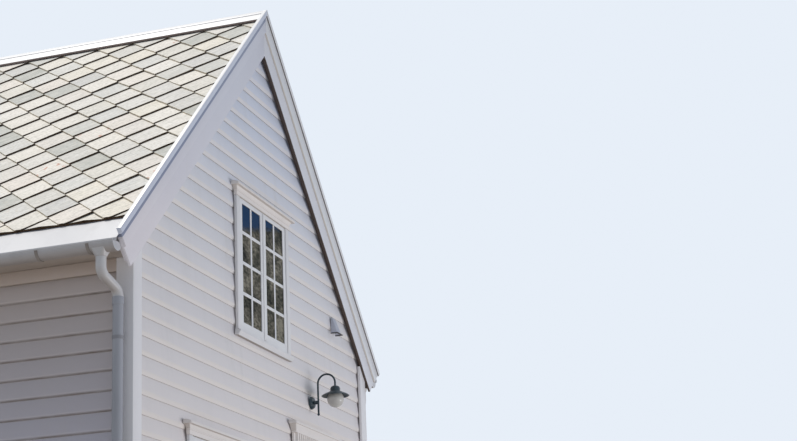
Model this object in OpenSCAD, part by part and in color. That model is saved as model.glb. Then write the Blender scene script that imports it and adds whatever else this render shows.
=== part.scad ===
// Gabled front wing of a white timber house, from the ground to the ridge.
// Millimetres. X runs along the gable front, Y into the house, Z up.
// The modules are drawn about the middle of the ridge. set_out() then moves each
// node so that the origin is on the ground, in the middle of the front plinth wall.

/* [House] */
// Width of the gable front over the cladding
house_w = 5180; // [4600:20:6000]
// Length of the wing along the ridge, over the cladding
house_d = 5400; // [4400:20:7200]
// Thickness of the outside walls
wall_t = 200; // [150:5:240]
// Height of the stone plinth above the ground
plinth_h = 600; // [300:10:900]
// Thickness of the stone plinth
plinth_t = 300; // [260:5:360]
// Thickness of the lower floor
floor_t = 100; // [60:5:160]
// Height from the door's upper glass to the top of the attic floor
over_door = 350; // [300:10:600]
// Thickness of the attic floor with its joists
attic_floor_t = 200; // [140:5:220]

/* [Roof] */
// Pitch of both roof slopes in degrees
roof_pitch = 45; // [40:1:50]
// Height of the slate surface over the side wall's face, above the attic floor
eave_rise = 1190; // [1150:10:1400]
// Thickness of the slate covering
slate_t = 25; // [18:1:34]
// Thickness of the roof boarding with its rafters
deck_t = 100; // [70:5:130]
// Overhang of the slates past the wall, measured down the slope
slate_over = 212; // [180:2:240]
// Overhang of the bargeboards past the wall, measured down the slope
verge_over = 464; // [430:2:490]
// Width of each ridge board
ridge_board_w = 165; // [120:5:210]

/* [Bargeboards] */
// Depth of the packing that holds the inner bargeboard off the cladding
barge_pack = 32; // [20:1:40]
// Thickness of the inner bargeboard
barge_t = 20; // [16:1:28]
// Thickness of the outer bargeboard
outer_t = 20; // [14:1:28]
// Depth of the inner board's lower edge under the slate surface
inner_drop = 301; // [280:1:330]
// Depth of the outer board's lower edge under the slate surface
outer_drop = 136; // [110:1:180]
// How far the verge cap stands up over the slates
cap_rise = 27; // [15:1:35]
// Width of the verge cap across the verge
cap_w = 38; // [30:1:50]
// Drop of the verge cap's lip under the slate surface
cap_lip = 16; // [8:1:24]

/* [Eaves] */
// Overhang of the boxed eave
eave_out = 200; // [160:5:240]
// Thickness of the fascia and of the soffit
eave_board_t = 21; // [18:1:26]
// Height of the frieze board under the soffit
frieze_h = 102; // [80:2:140]
// Thickness of the frieze board
frieze_t = 25; // [18:1:30]
// Outer radius of the half-round gutter
gutter_r = 72; // [62:1:80]
// Thickness of the gutter's sheet
gutter_t = 4; // [3:0.5:6]
// Clear gap between the gutter and the bargeboards' packing
verge_gap = 2; // [1:0.5:6]
// Spacing of the gutter hooks
hook_pitch = 420; // [360:10:600]
// Outer diameter of the downpipe
pipe_d = 80; // [70:1:88]
// Radius of the swan neck's two bends
bend_r = 80; // [70:2:90]
// Bend angle of the swan neck
bend_a = 65; // [60:1:70]

/* [Corner boards] */
// Width of each corner board
corner_w = 142; // [120:2:170]
// Thickness of the corner boards
corner_t = 28; // [22:1:32]

/* [Windows] */
// Width of one sash of a gable window
gable_sash_w = 532; // [480:2:580]
// Width of one sash of a lower window
lower_sash_w = 450; // [400:2:500]
// Height of every sash
sash_h = 1192; // [1120:2:1240]
// Shift of the front gable window from the ridge line
gable_window_x = -40; // [-80:5:80]
// Height of the gable window's sill above the attic floor
gable_sill = 616; // [560:2:680]
// Height of the lower windows' sills above the lower floor
lower_sill = 1062; // [960:2:1120]
// Distance of the lower window and of the door from the ridge line
opening_x = 1120; // [1060:5:1300]
// Width of the casing boards
casing_w = 70; // [55:1:85]
// Width of the sash stiles
stile_w = 60; // [50:1:70]
// Width of a glazing bar
bar_w = 30; // [22:1:38]

/* [Door] */
// Width of the door leaf
leaf_w = 850; // [780:5:900]
// Height of the door leaf
leaf_h = 2050; // [1980:5:2080]
// Height of the glass over the door
overlight_h = 300; // [240:5:310]
// Height of the entablature over the door
door_head_h = 271; // [250:1:300]

/* [Lamp and vent] */
// Height of the lamp's wall plate above the door's upper glass
lamp_rise = 620; // [560:10:700]
// Diameter of the lamp's shade
shade_d = 262; // [220:2:300]
// Radius of the lamp arm's arc
lamp_arc_r = 86; // [70:2:100]
// Distance of the vent hood from the house's right side
vent_side = 812; // [740:4:900]

/* [Hidden] */
$fn = 32;

// Clear gap at joints between separate pieces
joint = 0.3;

half_w = house_w / 2;
half_d = house_d / 2;
floor_z = plinth_h + floor_t;
storey_h = leaf_h + overlight_h + over_door;
attic_z = floor_z + storey_h;
wall_slate_z = attic_z + eave_rise;
ridge_z = wall_slate_z + half_w * tan(roof_pitch);
split_z = attic_z - attic_floor_t / 2;
plinth_inset = 15;

// Distances down the slope, from the ridge
slope_wall = half_w / cos(roof_pitch);
slope_slates = slope_wall + slate_over;
slope_verge = slope_wall + verge_over;

// Heights of a surface n over the slate surface, and of the deck's underside
function surface_z(out, n) = wall_slate_z - out * tan(roof_pitch) + n / cos(roof_pitch);
deck_under_n = -slate_t - deck_t;

// Point of the left slope: s down the slope from the ridge, n over the slate surface
function slope_pt(s, n) = [
    -s * cos(roof_pitch) - n * sin(roof_pitch),
    ridge_z - s * sin(roof_pitch) + n * cos(roof_pitch)];
// Point of the left slope on the vertical plane at x, n over the slate surface
function plumb_pt(x, n) = [x, ridge_z + x * tan(roof_pitch) + n / cos(roof_pitch)];

// Eave: soffit underside, fascia and gutter centre
soffit_z = surface_z(0, -inner_drop) - 9;
soffit_t = eave_board_t;
fascia_out = eave_out + eave_board_t;
hook_t = 4;
gutter_out = fascia_out + gutter_r + hook_t + 2 * joint;
gutter_z = soffit_z + 41;
slope_pack = (half_w + gutter_out - gutter_r) * cos(roof_pitch)
    + (ridge_z - gutter_z) * sin(roof_pitch) - verge_gap;

// Outlet, swan neck and downpipe
outlet_y = 100;
pipe_out = corner_t + 30 + pipe_d / 2;
pipe_y = 62;
neck_top_z = gutter_z - 104;
neck_run = sqrt(pow(gutter_out - pipe_out, 2) + pow(outlet_y - pipe_y, 2));
neck_turn = atan((outlet_y - pipe_y) / (gutter_out - pipe_out));
neck_straight = (neck_run - 2 * bend_r * (1 - cos(bend_a))) / sin(bend_a);
neck_drop = 2 * bend_r * sin(bend_a) + neck_straight * cos(bend_a);
neck_plumb = 66;
neck_end_z = neck_top_z - neck_plumb - neck_drop;
shoe_z = 210;
clip_zs = [neck_end_z - 4 * pipe_d, (neck_end_z + plinth_h) / 2, plinth_h + 2 * pipe_d];

// Windows: side from the ridge line, sill height, sash width, turn about Z
sash_gap = 3;
frame_t = 40;
frame_depth = 110;
casing_t = 25;
sash_front = -18;
sash_t = 40;
top_rail = 42;
bottom_rail = 78;
glass_t = 4;
glass_front = -8;
rebate = 9;
head_h = 112;
head_out = 70;
sill_h = 58;
WINDOWS = [
    [gable_window_x, attic_z + gable_sill, gable_sash_w, 0],
    [-opening_x, floor_z + lower_sill, lower_sash_w, 0],
    [0, attic_z + gable_sill, gable_sash_w, 180],
    [-opening_x, floor_z + lower_sill, lower_sash_w, 180],
    [opening_x, floor_z + lower_sill, lower_sash_w, 180]];
function inner_w(sash_w) = 2 * sash_w + 3 * sash_gap;
inner_h = sash_h + 2 * sash_gap;

// Door
door_frame_t = 45;
door_gap = 3;
transom_h = 60;
door_inner_w = leaf_w + 2 * door_gap;
door_inner_h = leaf_h + door_gap + transom_h + overlight_h;
door_casing_w = 97;
door_casing_t = 32;
leaf_t = 45;
leaf_front = 20;

// Lamp and vent
lamp_plate_d = 125;
lamp_plate_t = 25;
lamp_tube_d = 18;
lamp_arm_out = 70;
arc_z = 174;
globe_r = 79;
neck_d = 92;
lamp_world_z = floor_z + leaf_h + overlight_h + lamp_rise;
vent_x = half_w - vent_side;
vent_z = wall_slate_z - 128;
vent_w = 128;
vent_h = 166;
vent_out = 68;

// Extrudes a profile drawn in X and Z from y0 to y1
module along_y(y0, y1) {
    translate([0, y1, 0])
        rotate([90, 0, 0])
            linear_extrude(height = y1 - y0)
                children();
}

// Extrudes a profile drawn in Y and Z from x0 to x1
module along_x(x0, x1) {
    translate([x0, 0, 0])
        rotate([90, 0, 90])
            linear_extrude(height = x1 - x0)
                children();
}

// Box between two corners
module box(low, high) {
    translate(low)
        cube(high - low);
}

// Frustum between a rectangle at z0 and one at z1, both against the wall plane
module flared(w0, out0, z0, w1, out1, z1) {
    polyhedron(
        points = [
            [-w0 / 2, -out0, z0], [w0 / 2, -out0, z0], [w0 / 2, 0, z0], [-w0 / 2, 0, z0],
            [-w1 / 2, -out1, z1], [w1 / 2, -out1, z1], [w1 / 2, 0, z1], [-w1 / 2, 0, z1]],
        faces = [[0, 1, 2, 3], [7, 6, 5, 4], [0, 4, 5, 1], [1, 5, 6, 2], [2, 6, 7, 3], [3, 7, 4, 0]]);
}

module both_sides() {
    children();
    mirror([1, 0, 0])
        children();
}

module back_end() {
    rotate([0, 0, 180])
        children();
}

// Places children at each window on its wall's cladding plane
module at_windows() {
    for (w = WINDOWS)
        rotate([0, 0, w[3]])
            translate([w[0], -half_d, w[1]]) {
                $sash_w = w[2];
                children();
            }
}

module at_door() {
    translate([opening_x, -half_d, floor_z])
        children();
}

// Slab of the left slope between two depths, cut plumb at the ridge
module slope_slab(s_end, n_low, n_high, y0, y1) {
    along_y(y0, y1)
        polygon([plumb_pt(0, n_low), plumb_pt(0, n_high),
            slope_pt(s_end, n_high), slope_pt(s_end, n_low)]);
}

// Pipe bend in the XZ plane: starts at the origin going down, turns towards -X
module bend(r, a, d, t) {
    translate([-r, 0, 0])
        rotate([90, 0, 0])
            rotate_extrude(angle = -a, $fn = 48)
                translate([r, 0])
                    difference() {
                        circle(d = d, $fn = 20);
                        circle(d = d - 2 * t, $fn = 20);
                    }
}

module tube(d, t, h) {
    difference() {
        cylinder(d = d, h = h, $fn = 20);
        translate([0, 0, -1])
            cylinder(d = d - 2 * t, h = h + 2, $fn = 20);
    }
}

// Structure: plinth, floors and walls

module plinth() {
    inset = plinth_inset;
    color("dimgray") {
        for (side = [0, 180])
            rotate([0, 0, side])
                box([-half_w + inset, -half_d + inset, 0],
                    [half_w - inset, -half_d + inset + plinth_t, plinth_h]);
        for (side = [0, 180])
            rotate([0, 0, side])
                box([-half_w + inset, -half_d + inset + plinth_t + joint, 0],
                    [-half_w + inset + plinth_t, half_d - inset - plinth_t - joint, plinth_h]);
    }
}

module front_steps() {
    treads = 3;
    tread_w = 1500;
    tread_d = 300;
    rise = floor_z / (treads + 1);
    color("gray")
        translate([opening_x, -half_d + plinth_inset - joint, 0])
            along_x(-tread_w / 2, tread_w / 2)
                polygon([
                    [0, 0], [-treads * tread_d, 0],
                    [-treads * tread_d, rise], [-2 * tread_d, rise],
                    [-2 * tread_d, 2 * rise], [-tread_d, 2 * rise],
                    [-tread_d, 3 * rise], [0, 3 * rise]]);
}

module ground_floor() {
    color("burlywood")
        box([-half_w + wall_t, -half_d + wall_t, plinth_h],
            [half_w - wall_t, half_d - wall_t, floor_z]);
}

module attic_floor() {
    color("burlywood")
        box([-half_w + wall_t, -half_d + wall_t, attic_z - attic_floor_t],
            [half_w - wall_t, half_d - wall_t, attic_z]);
}

// Outline of a gable wall up to the underside of the roof boarding
module gable_outline(z0, z1) {
    intersection() {
        polygon([
            [-half_w, plinth_h], [half_w, plinth_h],
            [half_w, surface_z(0, deck_under_n)],
            plumb_pt(0, deck_under_n),
            [-half_w, surface_z(0, deck_under_n)]]);
        translate([-half_w, z0])
            square([house_w, z1 - z0]);
    }
}

module window_hole(x, z, sash_w) {
    w = inner_w(sash_w) + 2 * frame_t;
    translate([x - w / 2, z - frame_t])
        square([w, inner_h + 2 * frame_t]);
}

module door_hole() {
    w = door_inner_w + 2 * door_frame_t;
    translate([opening_x - w / 2, floor_z - floor_t])
        square([w, floor_t + door_inner_h + door_frame_t]);
}

module front_wall() {
    color("white")
        along_y(-half_d, -half_d + wall_t)
            difference() {
                gable_outline(plinth_h, split_z);
                window_hole(-opening_x, floor_z + lower_sill, lower_sash_w);
                door_hole();
            }
}

module front_gable() {
    color("white")
        along_y(-half_d, -half_d + wall_t)
            difference() {
                gable_outline(split_z, ridge_z);
                window_hole(gable_window_x, attic_z + gable_sill, gable_sash_w);
            }
}

module back_wall() {
    color("white")
        along_y(half_d - wall_t, half_d)
            difference() {
                gable_outline(plinth_h, split_z);
                window_hole(-opening_x, floor_z + lower_sill, lower_sash_w);
                window_hole(opening_x, floor_z + lower_sill, lower_sash_w);
            }
}

module back_gable() {
    color("white")
        along_y(half_d - wall_t, half_d)
            difference() {
                gable_outline(split_z, ridge_z);
                window_hole(0, attic_z + gable_sill, gable_sash_w);
            }
}

module side_wall() {
    along_y(-half_d + wall_t, half_d - wall_t)
        polygon([
            [-half_w, plinth_h], [-half_w + wall_t, plinth_h],
            [-half_w + wall_t, surface_z(-wall_t, deck_under_n)],
            [-half_w, surface_z(0, deck_under_n)]]);
}

module left_wall() {
    color("whitesmoke")
        side_wall();
}

module right_wall() {
    color("whitesmoke")
        mirror([1, 0, 0])
            side_wall();
}

// Roof: boarding, slates and ridge boards

module roof_deck() {
    edge_x = -half_w - eave_out;
    along_y(-half_d, half_d)
        polygon([
            plumb_pt(0, deck_under_n), plumb_pt(0, -slate_t),
            plumb_pt(edge_x, -slate_t), plumb_pt(edge_x, deck_under_n)]);
}

module roof_deck_left() {
    color("peru")
        roof_deck();
}

module roof_deck_right() {
    color("peru")
        mirror([1, 0, 0])
            roof_deck();
}

// The slates run over the bargeboards' tops as far as the verge caps
verge_front = half_d + barge_pack + barge_t + outer_t;
cap_back = 23;
slate_end = verge_front - cap_back;

module slates_left() {
    color("lightgray")
        slope_slab(slope_slates, -slate_t, 0, -slate_end, slate_end);
}

module slates_right() {
    color("lightgray")
        mirror([1, 0, 0])
            slope_slab(slope_slates, -slate_t, 0, -slate_end, slate_end);
}

// Two boards along the ridge with a narrow strip over their joint
module ridge_boards() {
    board_t = 20;
    strip_w = 42;
    strip_t = 6;
    color("gainsboro")
        union() {
            both_sides() {
                slope_slab(ridge_board_w, 0, board_t, -slate_end, slate_end);
                slope_slab(strip_w, board_t, board_t + strip_t, -slate_end, slate_end);
            }
        }
}

// Bargeboards, from the cladding outwards

// Board with its packing, which stops short and leaves a dark slit behind the edge
module inner_board() {
    slit = 30;
    union() {
        slope_slab(slope_verge, -inner_drop, -slate_t,
            -verge_front + outer_t, -half_d - barge_pack);
        slope_slab(slope_pack, -inner_drop + slit, -slate_t,
            -half_d - barge_pack - 1, -half_d);
    }
}

module outer_board() {
    slope_slab(slope_verge, -outer_drop, -slate_t, -verge_front, -verge_front + outer_t);
}

// Cap over the outer board, with a lip that hangs in front of it
module verge_cap() {
    front = -slate_end - cap_w;
    slope_slab(slope_verge + 6, -cap_lip, cap_rise, front, -verge_front);
    slope_slab(slope_verge + 6, -slate_t, cap_rise, -verge_front, -slate_end);
}

module front_left_inner_board() {
    color("white")
        inner_board();
}

module front_right_inner_board() {
    color("white")
        mirror([1, 0, 0])
            inner_board();
}

module front_left_outer_board() {
    color("white")
        outer_board();
}

module front_right_outer_board() {
    color("white")
        mirror([1, 0, 0])
            outer_board();
}

module front_left_verge_cap() {
    color("white")
        verge_cap();
}

module front_right_verge_cap() {
    color("white")
        mirror([1, 0, 0])
            verge_cap();
}

// Keeps the two back slopes of one node apart at their mitre
module mitre_halves() {
    back_end()
        both_sides()
            difference() {
                children();
                box([-joint / 2, -half_d - wall_t, ridge_z - half_w / 2],
                    [wall_t / 2, -half_d + wall_t, ridge_z + wall_t]);
            }
}

module back_inner_boards() {
    color("white")
        mitre_halves()
            inner_board();
}

module back_outer_boards() {
    color("white")
        mitre_halves()
            outer_board();
}

module back_verge_caps() {
    color("white")
        mitre_halves()
            verge_cap();
}

// Eaves and rainwater goods

module soffits() {
    color("white")
        both_sides()
            box([-half_w - eave_out, -half_d, soffit_z],
                [-half_w, half_d, soffit_z + soffit_t]);
}

module fascias() {
    color("white")
        both_sides()
            along_y(-half_d, half_d)
                polygon([
                    [-half_w - eave_out, soffit_z],
                    [-half_w - eave_out, surface_z(eave_out, -slate_t)],
                    [-half_w - fascia_out, surface_z(fascia_out, -slate_t)],
                    [-half_w - fascia_out, soffit_z]]);
}

module friezes() {
    color("white")
        both_sides()
            box([-half_w - frieze_t, -half_d + corner_w - corner_t, soffit_z - frieze_h],
                [-half_w, half_d - corner_w + corner_t, soffit_z]);
}

// Sheet apron on the boarding from the slates down into the gutter
module eave_aprons() {
    sheet = 3;
    edge_x = -half_w - gutter_out - gutter_r + 22;
    color("white")
        both_sides()
            along_y(-slate_end, slate_end)
                polygon([
                    slope_pt(slope_slates, -slate_t),
                    slope_pt(slope_slates, -slate_t + sheet),
                    plumb_pt(edge_x, -slate_t + sheet),
                    [edge_x, gutter_z - 8],
                    [edge_x + sheet, gutter_z - 8],
                    plumb_pt(edge_x + sheet, -slate_t)]);
}

// Half-round trough with a rolled lip, closed ends and an outlet hole
module gutter() {
    y0 = -half_d - barge_pack + 2;
    y1 = -y0;
    bead = 5;
    translate([-half_w - gutter_out, 0, gutter_z])
        difference() {
            union() {
                along_y(y0, y1) {
                    difference() {
                        circle(r = gutter_r, $fn = 28);
                        circle(r = gutter_r - gutter_t, $fn = 28);
                        translate([-gutter_r - 1, 0])
                            square([2 * gutter_r + 2, gutter_r + 1]);
                    }
                    translate([-gutter_r - bead + 2, -bead])
                        square([2 * bead, 2 * bead]);
                }
                along_y(-half_d, half_d)
                    translate([gutter_r - gutter_t, -1])
                        square([gutter_t, 16]);
                for (y = [y0, y1 - gutter_t])
                    along_y(y, y + gutter_t)
                        difference() {
                            circle(r = gutter_r - 1, $fn = 28);
                            translate([-gutter_r - 1, 0])
                                square([2 * gutter_r + 2, gutter_r + 1]);
                        }
            }
            box([-24, -half_d + outlet_y - 38, -gutter_r - 10],
                [24, -half_d + outlet_y + 38, -gutter_r / 2]);
        }
}

module gutter_left() {
    color("white")
        gutter();
}

module gutter_right() {
    color("white")
        mirror([1, 0, 0])
            gutter();
}

// One strap hook under the gutter, held on the fascia
module gutter_hook() {
    strap_w = 26;
    r = gutter_r + joint;
    translate([-half_w - gutter_out, 0, gutter_z])
        along_y(-strap_w / 2, strap_w / 2) {
            difference() {
                circle(r = r + hook_t, $fn = 20);
                circle(r = r, $fn = 20);
                translate([-gutter_r - 10, -10])
                    square([gutter_r + 10, gutter_r + 20]);
                square([gutter_r + 10, gutter_r + 20]);
            }
            translate([r, -1])
                square([hook_t, 41]);
        }
}

module gutter_hooks() {
    count = floor((house_d - 60) / hook_pitch);
    first = -count * hook_pitch / 2;
    color("white")
        both_sides()
            for (i = [0 : count])
                translate([0, first + i * hook_pitch, 0])
                    gutter_hook();
}

// Funnel that wraps the gutter's underside and narrows to the pipe
module gutter_outlet() {
    top_y = 108;
    top_x = 118;
    top_z = 38;
    low_z = gutter_z - 104;
    wall = 3;
    translate([-half_w - gutter_out, -half_d + outlet_y, 0])
        difference() {
            hull() {
                translate([-top_x / 2, -top_y / 2, gutter_z - top_z])
                    cube([top_x, top_y, 1]);
                translate([0, 0, low_z])
                    cylinder(d = pipe_d + 6, h = 1, $fn = 20);
            }
            hull() {
                translate([-top_x / 2 + wall, -top_y / 2 + wall, gutter_z - top_z + 1])
                    cube([top_x - 2 * wall, top_y - 2 * wall, 1]);
                translate([0, 0, low_z - 1])
                    cylinder(d = pipe_d - 4, h = 1, $fn = 20);
            }
            translate([0, 0, gutter_z])
                rotate([90, 0, 0])
                    cylinder(r = gutter_r + joint, h = 4 * gutter_r, center = true, $fn = 28);
        }
}

module gutter_outlets() {
    color("white")
        both_sides()
            gutter_outlet();
}

// Two elbows between the outlet and the downpipe, with a joint under the upper bend
module swan_neck() {
    wall = 3;
    joint_x = -bend_r * (1 - cos(bend_a)) - neck_straight * sin(bend_a);
    joint_z = -bend_r * sin(bend_a) - neck_straight * cos(bend_a);
    translate([-half_w - gutter_out, -half_d + outlet_y, neck_top_z - joint])
        rotate([0, 0, 180 - neck_turn])
            translate([0, 0, -neck_plumb]) {
                union() {
                    tube(pipe_d, wall, neck_plumb);
                    bend(bend_r, bend_a, pipe_d, wall);
                }
                translate([joint_x, 0, joint_z])
                    rotate([0, bend_a, 0])
                        union() {
                            tube(pipe_d, wall, neck_straight - joint);
                            rotate([0, 0, 180])
                                bend(bend_r, bend_a, pipe_d, wall);
                        }
            }
}

module swan_necks() {
    color("white")
        both_sides()
            swan_neck();
}

// Straight pipe with a sleeve at its head and a shoe at its foot
module downpipe() {
    wall = 3;
    sleeve = 60;
    translate([-half_w - pipe_out, -half_d + pipe_y, 0]) {
        translate([0, 0, shoe_z])
            tube(pipe_d, wall, neck_end_z - 2 * joint - shoe_z);
        translate([0, 0, neck_end_z - 2 * joint - sleeve])
            difference() {
                cylinder(d = pipe_d + 8, h = sleeve, $fn = 20);
                translate([0, 0, -1])
                    cylinder(d = pipe_d - 2 * wall, h = sleeve + 2, $fn = 20);
            }
        translate([0, 0, shoe_z])
            bend(bend_r, 55, pipe_d, wall);
    }
}

module downpipes() {
    color("white")
        both_sides()
            downpipe();
}

// Ring round the pipe on a stem from the corner board
module pipe_clip() {
    ring_t = 3;
    ring_h = 26;
    difference() {
        union() {
            cylinder(d = pipe_d + 2 * ring_t + 2 * joint, h = ring_h, $fn = 20);
            translate([0, -7, 0])
                cube([pipe_out - corner_t - joint, 14, ring_h]);
        }
        translate([0, 0, -1])
            cylinder(d = pipe_d + 2 * joint, h = ring_h + 2, $fn = 20);
    }
}

module pipe_clips() {
    color("white")
        both_sides()
            for (z = clip_zs)
                translate([-half_w - pipe_out, -half_d + pipe_y, z])
                    pipe_clip();
}

// L of two boards at one corner; the front one is cut under the bargeboard
module corner_board() {
    foot_z = plinth_h - 12;
    in = corner_w - corner_t;
    along_y(-half_d - corner_t, -half_d)
        polygon([
            [-half_w - corner_t, foot_z],
            [-half_w + in, foot_z],
            plumb_pt(-half_w + in, -inner_drop - joint),
            plumb_pt(-half_w - corner_t, -inner_drop - joint)]);
    box([-half_w - corner_t, -half_d, foot_z],
        [-half_w, -half_d + in, soffit_z]);
}

module corner_boards() {
    color("white") {
        both_sides()
            corner_board();
        back_end()
            both_sides()
                corner_board();
    }
}

// Windows, drawn from the middle of the frame's foot

// Jambs, head and foot as separate pieces, each rebated for the sashes
module window_frames() {
    stop = 12;
    stop_y = sash_front + sash_t + joint;
    color("white")
        at_windows() {
            w = inner_w($sash_w);
            for (side = [-1, 1]) {
                translate([side * (w + frame_t) / 2, frame_depth / 2, inner_h / 2])
                    cube([frame_t, frame_depth, inner_h - 2 * joint], center = true);
                translate([side * (w - stop + 1) / 2, (stop_y + frame_depth) / 2, inner_h / 2])
                    cube([stop + 1, frame_depth - stop_y, inner_h - 2 * joint], center = true);
            }
            for (up = [-1, 1]) {
                translate([0, frame_depth / 2, inner_h / 2 + up * (inner_h + frame_t) / 2])
                    cube([w + 2 * frame_t, frame_depth, frame_t], center = true);
                translate([0, (stop_y + frame_depth) / 2, inner_h / 2 + up * (inner_h - stop + 1) / 2])
                    cube([w - 2 * stop - 2 * joint, frame_depth - stop_y, stop + 1], center = true);
            }
        }
}

module window_casings() {
    color("white")
        at_windows() {
            w = inner_w($sash_w);
            for (side = [-1, 1])
                translate([side * (w + casing_w) / 2, -casing_t / 2, inner_h / 2])
                    cube([casing_w, casing_t, inner_h - 2 * joint], center = true);
        }
}

// Moulded head: frieze, flared bed mould and cap with returned ends
module window_heads() {
    color("white")
        at_windows() {
            w = inner_w($sash_w) + 2 * casing_w;
            translate([0, 0, inner_h])
                union() {
                    flared(w + 8, casing_t + 5, 0, w + 8, casing_t + 5, 36);
                    flared(w + 16, casing_t + 9, 36, w + 16, casing_t + 9, 46);
                    flared(w + 20, casing_t + 10, 46, w + 72, head_out - 26, 76);
                    flared(w + 126, head_out, 76, w + 126, head_out, 98);
                    flared(w + 126, head_out, 98, w + 126, 22, head_h);
                }
        }
}

module window_sills() {
    color("white")
        at_windows() {
            w = inner_w($sash_w) + 2 * casing_w + 36;
            along_x(-w / 2, w / 2)
                polygon([
                    [0, -sill_h], [-30, -sill_h], [-38, -sill_h + 14],
                    [-52, -30], [-52, -12], [0, 0]]);
        }
}

// One sash as a ring with bars, rebated for its glass
module sash(sash_w) {
    glass_w = sash_w - 2 * stile_w;
    glass_h = sash_h - top_rail - bottom_rail;
    pane_h = (glass_h - 3 * bar_w) / 4;
    difference() {
        union() {
            along_y(sash_front, sash_front + sash_t)
                difference() {
                    square([sash_w, sash_h]);
                    translate([stile_w, bottom_rail])
                        square([glass_w, glass_h]);
                }
            along_y(sash_front + 4, sash_front + sash_t - 8) {
                translate([sash_w / 2 - bar_w / 2, bottom_rail - 1])
                    square([bar_w, glass_h + 2]);
                for (i = [1 : 3])
                    translate([stile_w - 1, bottom_rail + i * (pane_h + bar_w) - bar_w])
                        square([glass_w + 2, bar_w]);
            }
        }
        box([stile_w - rebate, glass_front - joint, bottom_rail - rebate],
            [sash_w - stile_w + rebate, glass_front + glass_t + joint, sash_h - top_rail + rebate]);
    }
}

module left_sashes() {
    color("white")
        at_windows()
            translate([-$sash_w - sash_gap / 2, 0, sash_gap])
                union() {
                    sash($sash_w);
                    // Cover strip over the meeting stiles
                    box([$sash_w - 14, sash_front - 7, 12],
                        [$sash_w + 16, sash_front - joint, sash_h - 12]);
                    box([$sash_w - 14, sash_front - 1, 12],
                        [$sash_w, sash_front + 1, sash_h - 12]);
                }
}

module right_sashes() {
    color("white")
        at_windows()
            translate([sash_gap / 2, 0, sash_gap])
                sash($sash_w);
}

module window_glass() {
    color("lightblue", 0.5)
        at_windows()
            for (x = [-$sash_w - sash_gap / 2, sash_gap / 2])
                translate([x, 0, sash_gap])
                    box([stile_w - rebate + joint, glass_front, bottom_rail - rebate + joint],
                        [$sash_w - stile_w + rebate - joint, glass_front + glass_t,
                            sash_h - top_rail + rebate - joint]);
    color("lightblue", 0.5)
        at_door()
            box([-leaf_w / 2, 30, leaf_h + door_gap + transom_h + joint],
                [leaf_w / 2, 36, door_inner_h - joint]);
}

// Door, drawn from the middle of its threshold

// Jambs, head, transom and threshold, with stops behind the leaf
module door_frame() {
    w = door_inner_w;
    stop = 12;
    stop_y = leaf_front + leaf_t + joint;
    color("white")
        at_door()
            union() {
                for (side = [-1, 1])
                    translate([side * (w + door_frame_t) / 2, frame_depth / 2, 0])
                        translate([-door_frame_t / 2, -frame_depth / 2, -floor_t + joint])
                            cube([door_frame_t, frame_depth, door_inner_h + floor_t - joint]);
                translate([-w / 2 - door_frame_t, 0, door_inner_h])
                    cube([w + 2 * door_frame_t, frame_depth, door_frame_t]);
                translate([-w / 2 - 1, 0, leaf_h + door_gap])
                    cube([w + 2, frame_depth, transom_h]);
                translate([-w / 2 - 1, -30, -floor_t + joint])
                    cube([w + 2, wall_t + 30, floor_t - door_gap - joint]);
                for (side = [-1, 1])
                    translate([side * (w - stop + 1) / 2 - (stop + 1) / 2, stop_y, -door_gap - 1])
                        cube([stop + 1, frame_depth - stop_y, leaf_h + 2 * door_gap + 2]);
                translate([-w / 2, stop_y, leaf_h + door_gap - stop])
                    cube([w, frame_depth - stop_y, stop + 1]);
            }
}

module door_casings() {
    base_h = 180;
    color("white")
        at_door()
            for (side = [-1, 1])
                translate([side * (door_inner_w + door_casing_w) / 2, 0, 0]) {
                    translate([-door_casing_w / 2, -door_casing_t, 0])
                        cube([door_casing_w, door_casing_t, door_inner_h + 36]);
                    translate([-door_casing_w / 2, -door_casing_t - 10, 0])
                        cube([door_casing_w, door_casing_t + 10, base_h]);
                }
}

// Entablature: architrave, fluted band, flared bed mould and cap
module door_head() {
    w = door_inner_w + 2 * door_casing_w;
    foot = door_inner_h + 36 + joint;
    band = 137;
    rib = 26;
    count = floor((w - rib) / (2 * rib) / 2);
    color("white")
        at_door()
            translate([0, 0, foot])
                union() {
                    flared(w + 8, 38, 0, w + 8, 38, 30);
                    flared(w - 8, 20, 30, w - 8, 20, 30 + band);
                    for (i = [-count : count])
                        translate([i * 2 * rib - rib / 2, -44, 28])
                            cube([rib, 26, band]);
                    flared(w + 12, 48, 26 + band, w + 12, 48, 38 + band);
                    flared(w + 12, 48, 38 + band, w + 104, 66, door_head_h - 36);
                    flared(w + 134, 75, door_head_h - 36, w + 134, 75, door_head_h - 14);
                    flared(w + 134, 75, door_head_h - 14, w + 134, 24, door_head_h);
                }
}

// Leaf with three pairs of sunk panels
module door_leaf() {
    stile = 105;
    panel_w = (leaf_w - 3 * stile) / 2;
    rows = [[0.088, 0.273], [0.415, 0.234], [0.702, 0.247]] * leaf_h;
    color("darkgreen")
        at_door()
            translate([-leaf_w / 2, leaf_front, 0])
                difference() {
                    box([0, 0, 0], [leaf_w, leaf_t, leaf_h]);
                    for (side = [0, 1], row = rows)
                        translate([stile + side * (panel_w + stile), -1, row[0]])
                            cube([panel_w, 13, row[1]]);
                }
}

// Lamp, drawn from the middle of its wall plate

module at_lamp() {
    translate([opening_x, -half_d, lamp_world_z])
        children();
}

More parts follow.
